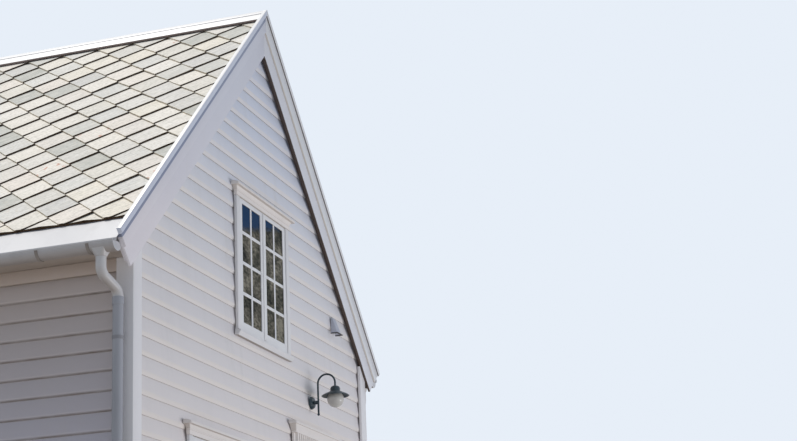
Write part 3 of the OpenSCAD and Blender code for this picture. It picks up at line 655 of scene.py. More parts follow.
class Finishes:
    """The finishes of the house wing."""

    # The ramp by height is painted light: warmer low on the wall, bluer high on the gable.
    front_siding = PaintedTimber("front_siding_paint", (0.78, 0.77, 0.80), 0.5, Grain.ALONG_X, HOUSE.front_lap_z,
                                 painted_light_by_height=((3.0, (0.81, 0.762, 0.745)), (4.0, (0.80, 0.77, 0.77)),
                                       (4.9, (0.77, 0.77, 0.80)), (6.0, (0.69, 0.73, 0.83))))
    # A darker, bluer copy of the white paint, painted shade; its ramp by height paints bluer light low down, its band
    # under the eave paints warm shade, and each lap's lower edge gets a dark band of painted shade.
    side_siding = PaintedTimber("side_siding_paint", (0.60, 0.60, 0.66), 0.5, Grain.ALONG_Y, HOUSE.side_lap_z,
                                lap_light_and_shade=(0.13, 0.095, 0.065), lap_light_and_shade_share=0.88, lap_light_and_shade_band=(0.045, 0.12), eave_z=(2.2, 4.3),
                                painted_light_by_height=((2.7, (0.59, 0.60, 0.715)), (3.9, (0.60, 0.60, 0.66))))
    trim_x = PaintedTimber("trim_paint_level", PAINT, 0.42, Grain.ALONG_X, soiling=0.2)
    # A warmer cream copy of the white paint, painted warm bounce light, with browner painted shade on faces that point
    # down.
    head = PaintedTimber("window_head_paint", (0.84, 0.79, 0.75), 0.42, Grain.ALONG_X, soiling=0.2,
                         under=(0.56, 0.49, 0.43), underside_shade_from=(0.45, 0.75))
    trim_y = PaintedTimber("trim_paint_eaves", (0.83, 0.765, 0.71), 0.45, Grain.ALONG_Y, soiling=0.3)
    # A darker brown copy of the white paint, painted shade under the eave.
    frieze = PaintedTimber("frieze_paint", (0.56, 0.465, 0.40), 0.45, Grain.ALONG_Y, soiling=0.3)
    trim_z = PaintedTimber("trim_paint_upright", PAINT, 0.42, Grain.UPRIGHT, soiling=0.25)
    # A darker, bluer copy of the white paint, painted shade, with a ramp by height that paints lighter, warmer light
    # towards the foot and a painted shadow under the verge cap.
    left_barge = PaintedTimber("bargeboard_paint_left", (0.70, 0.71, 0.76), 0.42, Grain.LEFT_SLOPE, soiling=0.2,
                               cap_line=-0.040,
                               painted_light_by_height=((4.5, (0.82, 0.78, 0.81)), (4.95, (0.73, 0.715, 0.765)),
                                     (6.2, (0.68, 0.69, 0.76))))
    # Painted shade on faces that point down: warm on the outer board's lower edge, near black in the slit under the
    # inner board.
    right_outer = PaintedTimber("bargeboard_paint_right", (0.79, 0.80, 0.82), 0.42, Grain.RIGHT_SLOPE, soiling=0.2,
                                under=(0.72, 0.66, 0.58), underside_shade_from=(0.62, 0.70))
    right_inner = PaintedTimber("bargeboard_paint_right_inner", (0.76, 0.77, 0.81), 0.42, Grain.RIGHT_SLOPE,
                                soiling=0.2, under=(0.060, 0.030, 0.015), underside_shade_share=0.97, underside_shade_from=(0.62, 0.70))
    # A lighter copy of the white paint, painted light.
    corner = PaintedTimber("corner_board_paint", (0.90, 0.88, 0.88), 0.42, Grain.UPRIGHT, soiling=0.2)
    sash = PaintedTimber("sash_paint", (0.82, 0.82, 0.82), 0.35, Grain.UPRIGHT, soiling=0.15)
    deck = BareTimber("roof_boarding", (0.17, 0.12, 0.08), 0.75, Grain.ALONG_Y)
    floor = BareTimber("floor_boards", (0.46, 0.34, 0.22), 0.6, Grain.ALONG_Y)
    slate = Slate("slate_faces", (0.5, 0.5, 0.47), 0.7)
    # Slate edges that face one way along the ridge are pale tan painted light, the rest dark brown painted shade.
    shaded_slate_edge = BrokenEdge("slate_edges", (0.072, 0.040, 0.018), 0.9)
    lit_slate_edge = BrokenEdge("slate_back_edges", (0.74, 0.65, 0.50), 0.9)
    # Caps, ridge and gutters get painted shade on faces that point down: blue painted shade on the left cap's front lip
    # below its lit top, a dark line of painted shade on the right cap's lip and on the ridge board's lower edge, and
    # darker gutter bellies.
    cap = Sheet("verge_sheet", (0.84, 0.84, 0.84), 0.38, 0.2, underside_shade_from=(0.75, 0.95))
    left_cap = Sheet("verge_sheet_left", (0.86, 0.86, 0.86), 0.38, 0.2, (-0.45, -0.10), 0.8, (0.60, 0.65, 0.78))
    right_cap = Sheet("verge_sheet_right", (0.84, 0.84, 0.84), 0.38, 0.2, (0.62, 0.70), 0.9, (0.09, 0.075, 0.075))
    ridge = Sheet("ridge_sheet", (0.84, 0.84, 0.84), 0.38, 0.2, (0.45, 0.70), 0.85, (0.15, 0.085, 0.072))
    gutter = Sheet("gutter_sheet", (0.61, 0.61, 0.625), 0.35, 0.45, underside_shade_share=0.8, under=(0.26, 0.21, 0.17))
    neck = Sheet("neck_sheet", (0.68, 0.67, 0.665), 0.35, 0.45, underside_shade_share=0.8, under=(0.28, 0.23, 0.19))
    # A darker copy of the gutter sheet, painted shade.
    pipe = Sheet("downpipe_sheet", (0.41, 0.42, 0.455), 0.30, 0.45)
    hook = Sheet("hook_iron", (0.27, 0.24, 0.215), 0.55, 0.6)
    clip = Sheet("pipe_clip_steel", (0.31, 0.31, 0.33), 0.5, 0.6)
    glass = Pane("window_panes", (0.05, 0.06, 0.06), 0.05)
    door = PaintedTimber("door_paint", (0.05, 0.13, 0.10), 0.3, Grain.UPRIGHT, soiling=0.05)
    lamp = Enamel("lamp_enamel", (0.009, 0.026, 0.036), 0.26)
    # A darker, greyer copy of the milk glass, painted shade.
    opal = Opal("opal_glass", (0.60, 0.58, 0.54), 0.2)
    # The hood's foot gets a dark band of painted shade where its mouth is in shadow.
    vent = Sheet("vent_sheet", (0.62, 0.64, 0.72), 0.5, 0.3, foot_z=4.470)
    plinth = Stone("plinth_stone", (0.36, 0.35, 0.33), 0.85)
    mortar = Stone("mortar", (0.50, 0.48, 0.44), 0.95)
    step = Stone("step_stone", (0.42, 0.41, 0.39), 0.8)


def place_piece(obj: Body, nodes: Sequence[str] = ()) -> Body:
    """Lets a finished piece ride on the wing.

    Args:
        obj: the piece, with its place in its mesh.
        nodes: the CAD nodes that it stands for.

    Returns:
        The same piece.
    """
    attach(obj, "root")
    if nodes:
        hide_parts(*nodes)
    LOG.info("%s: %d faces", obj.name, len(obj.data.polygons))
    return obj


def linked(name: str, data: Any) -> Body:
    """Puts a mesh, light or camera into the scene as an object at the origin.

    Args:
        name: the object's name.
        data: the mesh, light or camera.

    Returns:
        The new object.
    """
    obj = bpy.data.objects.new(name, data)
    bpy.context.scene.collection.objects.link(obj)
    return obj


def shade(obj: Body, smooth: float) -> None:
    """Shades a mesh smooth, apart from its sharp edges.

    Args:
        obj: the object.
        smooth: edges that turn by more stay sharp, in degrees.
    """
    for face in obj.data.polygons:
        face.use_smooth = True
    obj.data.set_sharp_from_angle(angle=math.radians(smooth))


class Shape:
    """A mesh under construction."""

    def __init__(self) -> None:
        """Starts an empty mesh."""
        self.mesh = bmesh.new()

    def box(self, low: Point, high: Point) -> "Shape":
        """Adds a box between two corners.

        Args:
            low: its lowest corner.
            high: its highest corner.

        Returns:
            This shape.
        """
        made = bmesh.ops.create_cube(self.mesh, size=1.0)["verts"]
        for vert in made:
            vert.co = Vector(tuple(l + (c + 0.5) * (h - l) for l, h, c in zip(low, high, vert.co)))
        return self

    def prism(self, outline: Sequence[Flat], axis: str, start: float, end: float) -> "Shape":
        """Adds an outline pulled along an axis.

        Args:
            outline: points in the plane of the other two axes, in their order.
            axis: X or Y.
            start: where the prism begins on the axis.
            end: where it ends.

        Returns:
            This shape.
        """
        def lift(point: Flat, at: float) -> Point:
            """The point in space."""
            return (at, *point) if axis == "X" else (point[0], at, point[1])

        near = [self.mesh.verts.new(lift(p, start)) for p in outline]
        far = [self.mesh.verts.new(lift(p, end)) for p in outline]
        self.mesh.faces.new(near)
        self.mesh.faces.new(far[::-1])
        for i in range(len(near)):
            j = (i + 1) % len(near)
            self.mesh.faces.new((near[i], far[i], far[j], near[j]))
        return self

    def bevelled(self, width: float, segments: int = 2, sharp: float = 30.0) -> "Shape":
        """Rounds the edges that turn by more than an angle.

        Args:
            width: the bevel's width.
            segments: facets across it.
            sharp: the least turn in degrees.

        Returns:
            This shape.
        """
        self.mesh.normal_update()
        edges = [e for e in self.mesh.edges if e.is_manifold and e.calc_face_angle(0.0) > math.radians(sharp)]
        bmesh.ops.bevel(self.mesh, geom=edges, offset=width, segments=segments, profile=0.5, affect="EDGES",
                        clamp_overlap=True)
        return self

    def object(self, name: str, finish: Finish | None = None, smooth: float = 35.0) -> Body:
        """Ends the mesh as an object at the origin.

        Args:
            name: the object's name.
            finish: its finish, or None.
            smooth: edges that turn by less are shaded smooth, in degrees.

        Returns:
            The new object.
        """
        bmesh.ops.recalc_face_normals(self.mesh, faces=self.mesh.faces)
        data = bpy.data.meshes.new(name)
        self.mesh.to_mesh(data)
        self.mesh.free()
        obj = linked(name, data)
        if finish:
            data.materials.append(finish.material())
        shade(obj, smooth)
        return obj


@dataclass(frozen=True)
class Dressing:
    """A finish for a CAD node whose shape is right as it is."""

    node: str
    finish: Finish

    def build(self) -> None:
        """Gives the node its finish."""
        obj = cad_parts[self.node]
        obj.data.materials.clear()
        obj.data.materials.append(self.finish.material())
        LOG.info("%s: dressed as %s", self.node, self.finish.name)


@dataclass(frozen=True)
class Fitting(Dressing):
    """A piece made from its CAD node's shape, with its arrises rounded."""

    bevel: float = 0.0
    slot: str = "white_timber"
    segments: int = 2
    smooth: float = 35.0
    kind: str = "rounded"

    def build(self) -> None:
        """Makes the piece and lets it ride on the wing."""
        shape = Shape()
        mesh = shape.mesh
        mesh.from_mesh(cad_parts[self.node].data)
        bmesh.ops.remove_doubles(mesh, verts=mesh.verts, dist=MERGE_GAP)
        bmesh.ops.dissolve_limit(mesh, angle_limit=FLAT_TURN, verts=mesh.verts, edges=mesh.edges)
        if self.bevel:
            shape.bevelled(self.bevel, self.segments)
        for layer in list(mesh.loops.layers.uv):
            mesh.loops.layers.uv.remove(layer)
        place_piece(shape.object(f"{self.node}_{self.kind}", self.finish, self.smooth), [self.node])


@dataclass
class Assembly:
    """A sub-assembly with the parts that follow their CAD nodes' own shapes."""

    parts: tuple[Dressing, ...] = ()
    house: House = HOUSE

    def build(self) -> None:
        """Makes the parts in order."""
        for part in self.parts:
            part.build()


class GeometryTree(Graph):
    """A Geometry Nodes tree with named inputs."""

    def __init__(self, name: str) -> None:
        """Makes the tree with a geometry input and output.

        Args:
            name: the tree's name.
        """
        super().__init__(bpy.data.node_groups.new(name, "GeometryNodeTree"))
        self.tree.interface.new_socket("Geometry", in_out="INPUT", socket_type="NodeSocketGeometry")
        self.tree.interface.new_socket("Geometry", in_out="OUTPUT", socket_type="NodeSocketGeometry")
        self.entry = self.tree.nodes.new("NodeGroupInput")
        self.identifiers: dict[str, str] = {}

    def take(self, kind: str, *names: str) -> list[Socket]:
        """Adds named inputs of one kind.

        Args:
            kind: Float, Int, Vector, Object or Material.
            names: the inputs' names.

        Returns:
            The sockets that give their values.
        """
        for name in names:
            made = self.tree.interface.new_socket(name, in_out="INPUT", socket_type=f"NodeSocket{kind}")
            self.identifiers[name] = made.identifier
        wanted = [self.identifiers[name] for name in names]
        return [next(s for s in self.entry.outputs if s.identifier == one) for one in wanted]

    def position(self) -> Socket:
        """Where each point of the geometry is."""
        return self.node("GeometryNodeInputPosition").outputs[0]

    def shape_of(self, source: Socket) -> Socket:
        """The geometry of an object that is an input."""
        return self.node("GeometryNodeObjectInfo", {"Object": source, "As Instance": False}).outputs["Geometry"]

    def draw(self, low: Any, high: Any, seed: Any) -> Socket:
        """A random vector between two corners for each point."""
        chance = self.node("FunctionNodeRandomValue", {0: low, 1: high, "Seed": seed}, data_type="FLOAT_VECTOR")
        return chance.outputs[0]

    def toned(self, geometry: Any, domain: str, chance: Mapping[str, Any]) -> Node:
        """Stores a random tone from 0 to 1.

        Args:
            geometry: the geometry.
            domain: INSTANCE or FACE.
            chance: the seed and, where it isn't the index, the ID.

        Returns:
            The node that gives the geometry.
        """
        tone = self.node("FunctionNodeRandomValue", chance, data_type="FLOAT").outputs[1]
        return self.node("GeometryNodeStoreNamedAttribute", {"Geometry": geometry, "Name": "tone", "Value": tone},
                         data_type="FLOAT", domain=domain)

    def repeated(self, points: Any, shape: Any, rotation: Any, scale: Any, seed: Any) -> Node:
        """Sets a shape on every point, each with its own turn, size and random tone.

        Args:
            points: where the shapes go.
            shape: the shape's geometry.
            rotation: the turn on each point.
            scale: the size on each point.
            seed: the tones' seed.

        Returns:
            The node that gives the shapes as one geometry.
        """
        laid = self.node("GeometryNodeInstanceOnPoints", {
            "Points": points, "Instance": shape, "Rotation": rotation, "Scale": scale})
        return self.solid(self.toned(laid, "INSTANCE", {"Seed": seed}))

    def solid(self, geometry: Any) -> Node:
        """Makes real geometry of what is set on points."""
        return self.node("GeometryNodeRealizeInstances", {"Geometry": geometry})

    def ruffled(self, geometry: Any, scale: Any, reach: Any, stretch: Point = (1.0, 1.0, 1.0)) -> Node:
        """Shifts the points by a noise.

        Args:
            geometry: the geometry.
            scale: features per metre.
            reach: how far the noise shifts a point.
            stretch: the share of the shift along each axis.

        Returns:
            The node that gives the geometry.
        """
        noise = self.node("ShaderNodeTexNoise", {"Vector": self.position(), "Scale": scale, "Detail": 3.0}).outputs[1]
        centred = self.vector("SUBTRACT", {0: noise, 1: (0.5, 0.5, 0.5)})
        shift = self.vector("SCALE", {0: self.vector("MULTIPLY", {0: centred, 1: stretch}), "Scale": reach})
        return self.node("GeometryNodeSetPosition", {"Geometry": geometry, "Offset": shift})

    def painted(self, geometry: Any, material: Socket, **choice: Any) -> Node:
        """Gives the geometry, or the chosen faces of it, a material."""
        return self.node("GeometryNodeSetMaterial", {"Geometry": geometry, "Material": material, **choice})

    def end(self, geometry: Any) -> None:
        """Joins the last geometry to the tree's output."""
        self.feed(self.tree.nodes.new("NodeGroupOutput").inputs[0], geometry)

    def apply(self, host: Body, name: str, values: Mapping[str, Any]) -> Body:
        """Runs the tree on a host object and keeps the result as a plain mesh.

        Args:
            host: the object that the tree starts from, removed afterwards.
            name: the new object's name.
            values: the inputs by name.

        Returns:
            The new object.
        """
        modifier = host.modifiers.new("courses", "NODES")
        modifier.node_group = self.tree
        for key, value in values.items():
            modifier[self.identifiers[key]] = value
        bpy.context.view_layer.update()
        graph = bpy.context.evaluated_depsgraph_get()
        data = bpy.data.meshes.new_from_object(host.evaluated_get(graph), preserve_all_data_layers=True,
                                               depsgraph=graph)
        host.modifiers.remove(modifier)
        bpy.data.objects.remove(host)
        data.name = name
        return linked(name, data)


def plain_host(name: str) -> Body:
    """A small block for a tree that makes all of its geometry itself."""
    return Shape().box((0, 0, 0), (0.1, 0.1, 0.1)).object(name + "_host")


def cleaned(obj: Body, matrix: Matrix, recalculate: bool = True) -> Body:
    """Takes degenerate faces out of a mesh and moves it into place.

    Args:
        obj: the object.
        matrix: the move for its points.
        recalculate: whether the faces are turned outwards again.

    Returns:
        The same object.
    """
    mesh = bmesh.new()
    mesh.from_mesh(obj.data)
    bmesh.ops.dissolve_degenerate(mesh, dist=MERGE_GAP, edges=mesh.edges)
    bmesh.ops.transform(mesh, matrix=matrix, verts=mesh.verts)
    if recalculate:
        bmesh.ops.recalc_face_normals(mesh, faces=mesh.faces)
    mesh.to_mesh(obj.data)
    mesh.free()
    return obj


def joined(name: str, objects: Sequence[Body]) -> Body:
    """Joins several objects into one mesh, with their materials and attributes.

    Args:
        name: the new object's name.
        objects: the objects, all at the origin.

    Returns:
        The joined object.
    """
    with bpy.context.temp_override(active_object=objects[0], object=objects[0], selected_objects=list(objects),
                                   selected_editable_objects=list(objects)):
        bpy.ops.object.join()
    objects[0].name = name
    objects[0].data.name = name
    return objects[0]


@dataclass(frozen=True)
class Block:
    """One stone of the plinth: its middle, its size and its turn about Z."""

    middle: Point
    size: Point
    turn: float


def point_cloud(name: str, blocks: Sequence[Block]) -> Body:
    """Makes a mesh of loose points that carry a size and a turn for what is set on them.

    Args:
        name: the object's name.
        blocks: what is set on the points.

    Returns:
        The new object.
    """
    data = bpy.data.meshes.new(name)
    data.from_pydata([block.middle for block in blocks], [], [])
    for label, rows in (("size", [block.size for block in blocks]),
                        ("turn", [(0.0, 0.0, block.turn) for block in blocks])):
        layer = data.attributes.new(label, "FLOAT_VECTOR", "POINT")
        layer.data.foreach_set("vector", [c for row in rows for c in row])
    return linked(name, data)


class StoneTree(GeometryTree):
    """Sets one stone on every point of the host, each with its own size, turn and tone."""

    tone_seed = 7

    def __init__(self) -> None:
        """Builds the tree."""
        super().__init__("stones_on_points")
        tile, = self.take("Object", "Tile")
        rough, grainy = self.take("Float", "Roughness", "Grain Scale")
        seed, = self.take("Int", "Seed")
        material, = self.take("Material", "Material")
        size, turn = (self.node("GeometryNodeInputNamedAttribute", {"Name": name}, data_type="FLOAT_VECTOR").outputs[0]
                      for name in ("size", "turn"))
        stones = self.repeated(self.entry.outputs[0], self.shape_of(tile), turn, size, self.plus(seed, self.tone_seed))
        self.end(self.painted(self.ruffled(stones, grainy, rough), material))


class SidingTree(GeometryTree):
    """Lays lapped boards in level courses and cuts the window and door holes out of them."""

    def __init__(self) -> None:
        """Builds the tree."""
        super().__init__("lapped_boards")
        board, holes = self.take("Object", "Board", "Holes")
        courses, seed = self.take("Int", "Courses", "Seed")
        pitch, first = self.take("Float", "Course Height", "First Lap")
        material, = self.take("Material", "Material")
        line = self.node("GeometryNodeMeshLine", {
            "Count": courses, "Start Location": self.point(z=first), "Offset": self.point(z=pitch)}, mode="OFFSET")
        laid = self.node("GeometryNodeInstanceOnPoints", {"Points": line, "Instance": self.shape_of(board)})
        cut = self.node("GeometryNodeMeshBoolean", {0: self.solid(laid), 1: self.shape_of(holes)},
                        operation="DIFFERENCE", solver="EXACT")
        row = self.math("FLOOR", self.over(self.less(self.split(self.position())[2], first), pitch))
        toned = self.toned(cut, "FACE", {"ID": row, "Seed": seed})
        self.end(self.painted(self.solid(toned), material))


class SlateTree(GeometryTree):
    """Lays square slates on their corners over a slope and trims them at its edges.

    The slope's X runs along the eave, Y up the slope from the wall's line, and Z off it.
    """

    cells = 10
    margin = 0.012
    shake = ((-0.004, -0.006, -0.034), (0.006, 0.006, -0.008))
    sizes = ((0.985, 0.970, 0.78), (1.0, 0.990, 1.02))
    size_seed = 3
    tone_seed = 11
    chips_per_metre = 34.0
    chip_stretch = (1.0, 1.0, 0.25)
    edge_normal = 0.7
    back_normal = -0.5

    def __init__(self) -> None:
        """Builds the tree."""
        super().__init__("diagonal_slates")
        self.side, overlap, thick, chip = self.take("Float", "Side", "Overlap", "Thickness", "Chipping")
        first, low, high = self.take("Vector", "First Corner", "Low Edge", "High Edge")
        columns, rows, seed = self.take("Int", "Columns", "Rows", "Seed")
        face, edge, lit_edge = self.take("Material", "Face Material", "Edge Material", "Back Edge Material")
        self.half = self.times(self.side, HALF_ROOT)
        self.lows, self.highs = self.split(low), self.split(high)
        slates = self.repeated(
            self.corners(first, columns, rows), self.plate(overlap, thick), self.draw(*self.shake, seed),
            self.draw(*self.sizes, self.plus(seed, self.size_seed)), self.plus(seed, self.tone_seed))
        chipped = self.ruffled(slates, self.chips_per_metre, chip, self.chip_stretch)
        faced = self.painted(self.trimmed(chipped), face)
        # Edges get the dark painted-shade material, and edges facing one way along the ridge the pale painted-light
        # one.
        normal = self.split(self.node("GeometryNodeInputNormal"))
        edged = self.painted(faced, edge, Selection=self.math("LESS_THAN", normal[2], self.edge_normal))
        self.end(self.painted(edged, lit_edge, Selection=self.math("LESS_THAN", normal[0], self.back_normal)))

    def corners(self, first: Socket, columns: Socket, rows: Socket) -> Node:
        """The slates' lower corners, every second row moved half a slate along.

        Args:
            first: the first corner's place.
            columns: slates in a row.
            rows: rows up the slope.

        Returns:
            The node that gives the points that lie on the slope.
        """
        wide = self.times(self.half, 2.0)
        span_x = self.times(wide, self.less(columns, 1))
        span_y = self.times(self.half, self.less(rows, 1))
        grid = self.node("GeometryNodeMeshGrid", {0: span_x, 1: span_y, 2: columns, 3: rows})
        along = self.split(self.position())[1]
        row = self.math("ROUND", self.over(self.plus(along, self.over(span_y, 2)), self.half))
        odd = self.times(self.math("FLOORED_MODULO", row, 2.0), self.half)
        to_first = self.vector("ADD", {
            0: first, 1: self.point(self.plus(self.over(span_x, 2), odd), self.over(span_y, 2))})
        moved = self.node("GeometryNodeSetPosition", {"Geometry": grid, "Offset": to_first})
        at = self.split(self.position())
        off = [self.math("LESS_THAN", self.plus(at[0], self.half), self.plus(self.lows[0], self.margin)),
               self.math("GREATER_THAN", self.less(at[0], self.half), self.less(self.highs[0], self.margin)),
               self.math("LESS_THAN", self.plus(at[1], wide), self.plus(self.lows[1], self.margin)),
               self.math("GREATER_THAN", at[1], self.less(self.highs[1], self.margin))]
        outside = self.math("MAXIMUM", self.math("MAXIMUM", off[0], off[1]), self.math("MAXIMUM", off[2], off[3]))
        return self.node("GeometryNodeDeleteGeometry", {"Geometry": moved, "Selection": outside}, domain="POINT")

    def plate(self, overlap: Socket, thick: Socket) -> Node:
        """One slate on its corner, leaning on the one below, with its own coordinates kept as leaf.

        Args:
            overlap: how much longer than its pitch its side is.
            thick: its thickness.

        Returns:
            The node that gives the slate.
        """
        full = self.plus(self.side, overlap)
        plate = self.node("GeometryNodeMeshCube", {
            "Size": self.point(full, full, thick), "Vertices X": self.cells, "Vertices Y": self.cells, "Vertices Z": 2})
        made = self.node("GeometryNodeStoreNamedAttribute", {
            "Geometry": plate, "Name": "leaf", "Value": self.position()}, data_type="FLOAT_VECTOR", domain="POINT")
        half = self.over(full, 2)
        lean = self.times(self.math("ARCTANGENT", self.over(self.times(thick, math.sqrt(2)), self.side)), -1)
        for move in ({"Translation": self.point(half, half, self.over(thick, -2))},
                     {"Rotation": (0, 0, math.radians(45))}, {"Rotation": self.point(lean)}):
            made = self.node("GeometryNodeTransform", {"Geometry": made, **move})
        return made

    def trimmed(self, geometry: Any) -> Node:
        """Holds every point inside the slope's edges and under its upper limit.

        Args:
            geometry: the slates.

        Returns:
            The node that gives them trimmed.
        """
        now = self.split(self.position())
        inside = [self.math("MAXIMUM", self.lows[axis], self.math("MINIMUM", self.highs[axis], now[axis]))
                  for axis in (0, 1)]
        inside.append(self.math("MINIMUM", self.highs[2], now[2]))
        return self.node("GeometryNodeSetPosition", {"Geometry": geometry, "Position": self.point(*inside)})


@dataclass(frozen=True)
class Opening:
    """A window's hole, in its wall's own plan."""

    x: float
    sill: float
    sash_w: float
    end: End
    inner_h: float = 1.198
    frame_t: float = 0.040
    sash_gap: float = 0.009
    reach: float = 1.0

    @property
    def hole(self) -> tuple[Point, Point]:
        """The box that is cut for it.

        Returns:
            Its lowest and highest corners.
        """
        half = (2 * self.sash_w + self.sash_gap) / 2 + self.frame_t
        return ((self.x - half, -self.reach, self.sill - self.frame_t),
                (self.x + half, self.reach, self.sill + self.inner_h + self.frame_t))


@dataclass
class Walls(Assembly):
    """The timber walls with their lapped boards."""

    tree: SidingTree = field(default_factory=SidingTree)
    bevel_h: float = 0.027
    bevel_nose: Flat = (0.0015, 0.005)
    butt: float = 0.0105
    top_t: float = 0.0015
    smooth: float = 25.0
    end_gap: float = 0.030
    joint: float = 0.0006
    deck_gap: float = 0.004
    eave_clear: Flat = (0.050, 0.020)
    sill_reach: float = 0.5
    cutter_out: float = 4.0
    cutter_deep: float = 1.1
    cutter_low: float = 1.0
    cutter_tops: Flat = (1.5, 2.0)
    course_slack: float = 0.001
    windows: tuple[Opening, ...] = (
        Opening(-0.040, 4.016, 0.532, End.FRONT), Opening(-1.120, 1.762, 0.450, End.FRONT),
        Opening(0.0, 4.016, 0.532, End.BACK), Opening(-1.120, 1.762, 0.450, End.BACK),
        Opening(1.120, 1.762, 0.450, End.BACK))
    door_x: float = 1.120
    door_half: float = 0.473
    door_top: float = 3.158
    door_reach: float = 1.0

    def board(self, half: float, length_axis: str) -> Body:
        """Makes one board's shape: thin at the top, with a long bevel under its lower edge.

        Args:
            half: half its length.
            length_axis: X on a gable end, Y on a side.

        Returns:
            The board, standing on height 0 just behind the cladding's plane.
        """
        depth, tall = self.house.lap_depth, self.house.course - self.joint
        outline = [(depth, 0.0), (self.butt, 0.0), (self.bevel_nose[0], self.bevel_h - self.bevel_nose[1]),
                   (0.0, self.bevel_h), (depth - self.top_t, tall), (depth, tall)]
        shape = Shape().prism([(y + self.house.lap_back, z) for y, z in outline], length_axis, -half, half)
        return shape.object("board_shape")

    def holes(self, end: End, low: float, high: float) -> list[tuple[Point, Point]]:
        """The boxes that are cut from an end wall's boards.

        Args:
            end: the gable end.
            low: foot of the wall.
            high: top of the wall.

        Returns:
            Two corners for each box.
        """
        boxes = [w.hole for w in self.windows if w.end is end and low - self.sill_reach < w.sill < high]
        if end is End.FRONT and low < self.door_top:
            boxes.append(((self.door_x - self.door_half, -self.door_reach, 0.0),
                          (self.door_x + self.door_half, self.door_reach, self.door_top)))
        return boxes

    def gable_cutter(self, end: End, low: float, high: float, reach: float) -> Shape:
        """The holes and all that lies over the roof's boarding, as one cutter.

        Args:
            end: the gable end.
            low: foot of the wall.
            high: top of the wall.
            reach: how far under the slates' plane the wall stops.

        Returns:
            The cutter's shape.
        """
        shape = Shape()
        for corner, other in self.holes(end, low, high):
            shape.box(corner, other)
        side, far, deep = self.house.half_w, self.cutter_out, self.cutter_deep
        edge = self.house.slope_z(0.0, -reach)
        foot, peak, shoulder = edge - self.cutter_low, edge + side + self.cutter_tops[0], edge + self.cutter_tops[1]
        for sign in (-1, 1):
            shape.prism([(sign * (side + self.cutter_low), foot), (0.0, edge + side), (0.0, peak),
                         (sign * far, shoulder), (sign * far, foot)], "Y", -deep, deep)
        return shape

    def end_wall(self, name: str, end: End, low: float, high: float) -> None:
        """Makes one storey of a gable end: the timber core and its boards.

        Args:
            name: the CAD node.
            end: which gable end.
            low: its foot.
            high: its top.
        """
        house = self.house
        top = min(high, house.slope_z(0.0, -house.deck_under) + house.half_w)
        inner = house.core_face
        core = Shape().box((-house.half_w + inner, inner, low), (house.half_w - inner, house.wall_t, top))
        first = math.floor((low - house.front_lap_z) / house.course + self.course_slack)
        first_z = house.front_lap_z + first * house.course
        courses = math.ceil((top - first_z) / house.course - self.course_slack)
        boards = self.lap(name + "_boards", self.board(house.half_w - self.end_gap, "X"),
                          self.gable_cutter(end, low, high, house.deck_under + self.deck_gap), courses, first_z,
                          Finishes.front_siding)
        self.clip(boards, low, top)
        body = core.object(name + "_core", Finishes.trim_x)
        self.cut(body, self.gable_cutter(end, low, high, house.deck_under))
        self.hang(name, boards, body, end.turn @ Matrix.Translation((0, -house.half_d, 0)))

    def side_wall(self, side: Side) -> None:
        """Makes a long wall: the timber core and its boards.

        Args:
            side: which long side.
        """
        house = self.house
        name = f"{side.name.lower()}_wall"
        inner = house.core_face
        top_out = house.slope_z(0.0, -house.deck_under)
        core = Shape().prism([(inner, house.plinth_z), (house.wall_t, house.plinth_z),
                              (house.wall_t, top_out + house.wall_t), (inner, top_out + inner)],
                             "Y", -house.half_d + house.wall_t, house.half_d - house.wall_t)
        body = core.object(name + "_core", Finishes.trim_y)
        courses = math.ceil((top_out - self.eave_clear[0] - house.side_lap_z) / house.course)
        cuts_nothing = Shape().box((-1, -9, -9), (1, -8, -8))
        boards = self.lap(name + "_boards", self.board(house.half_d - self.end_gap, "Y"), cuts_nothing, courses,
                          house.side_lap_z, Finishes.side_siding)
        self.clip(boards, house.plinth_z, top_out - self.eave_clear[1])
        self.hang(name, boards, body, side.turn @ Matrix.Translation((-house.half_w, 0, 0)))

    def hang(self, name: str, boards: Body, body: Body, place: Matrix) -> None:
        """Joins the boards to their core, moves the wall into place and lets it ride.

        Args:
            name: the CAD node.
            boards: the lapped boards.
            body: the timber core.
            place: the wall's move about the middle of the ridge.
        """
        whole = joined(name + "_lapped", [boards, body])
        cleaned(whole, self.house.set_out @ place, recalculate=False)
        shade(whole, self.smooth)
        place_piece(whole, [name])

    def lap(self, name: str, board: Body, cutter: Shape, courses: int, first: float, finish: Finish) -> Body:
        """Lays the boards and cuts their holes.

        Args:
            name: the new object's name.
            board: one board's shape, removed afterwards.
            cutter: what is taken out of the boards.
            courses: how many boards lie over each other.
            first: height of the lowest one's foot.
            finish: their finish.

        Returns:
            The boards.
        """
        host = plain_host(name)
        holes = cutter.object(name + "_holes")
        made = self.tree.apply(host, name, {
            "Board": board, "Holes": holes, "Courses": courses, "Course Height": self.house.course,
            "First Lap": first, "Seed": len(name), "Material": finish.material()})
        for used in (board, holes):
            bpy.data.objects.remove(used)
        return made

    def clip(self, obj: Body, low: float, high: float) -> None:
        """Cuts a mesh off below and above two heights, with closed ends.

        Args:
            obj: the object.
            low: the lower height.
            high: the upper height.
        """
        mesh = bmesh.new()
        mesh.from_mesh(obj.data)
        for height, up in ((low, -1), (high, 1)):
            found = bmesh.ops.bisect_plane(mesh, geom=mesh.verts[:] + mesh.edges[:] + mesh.faces[:], dist=1e-6,
                                           plane_co=(0, 0, height), plane_no=(0, 0, up), clear_outer=True)
            rim = [e for e in found["geom_cut"] if isinstance(e, bmesh.types.BMEdge)]
            if rim:
                bmesh.ops.holes_fill(mesh, edges=rim, sides=0)
        mesh.to_mesh(obj.data)
        mesh.free()

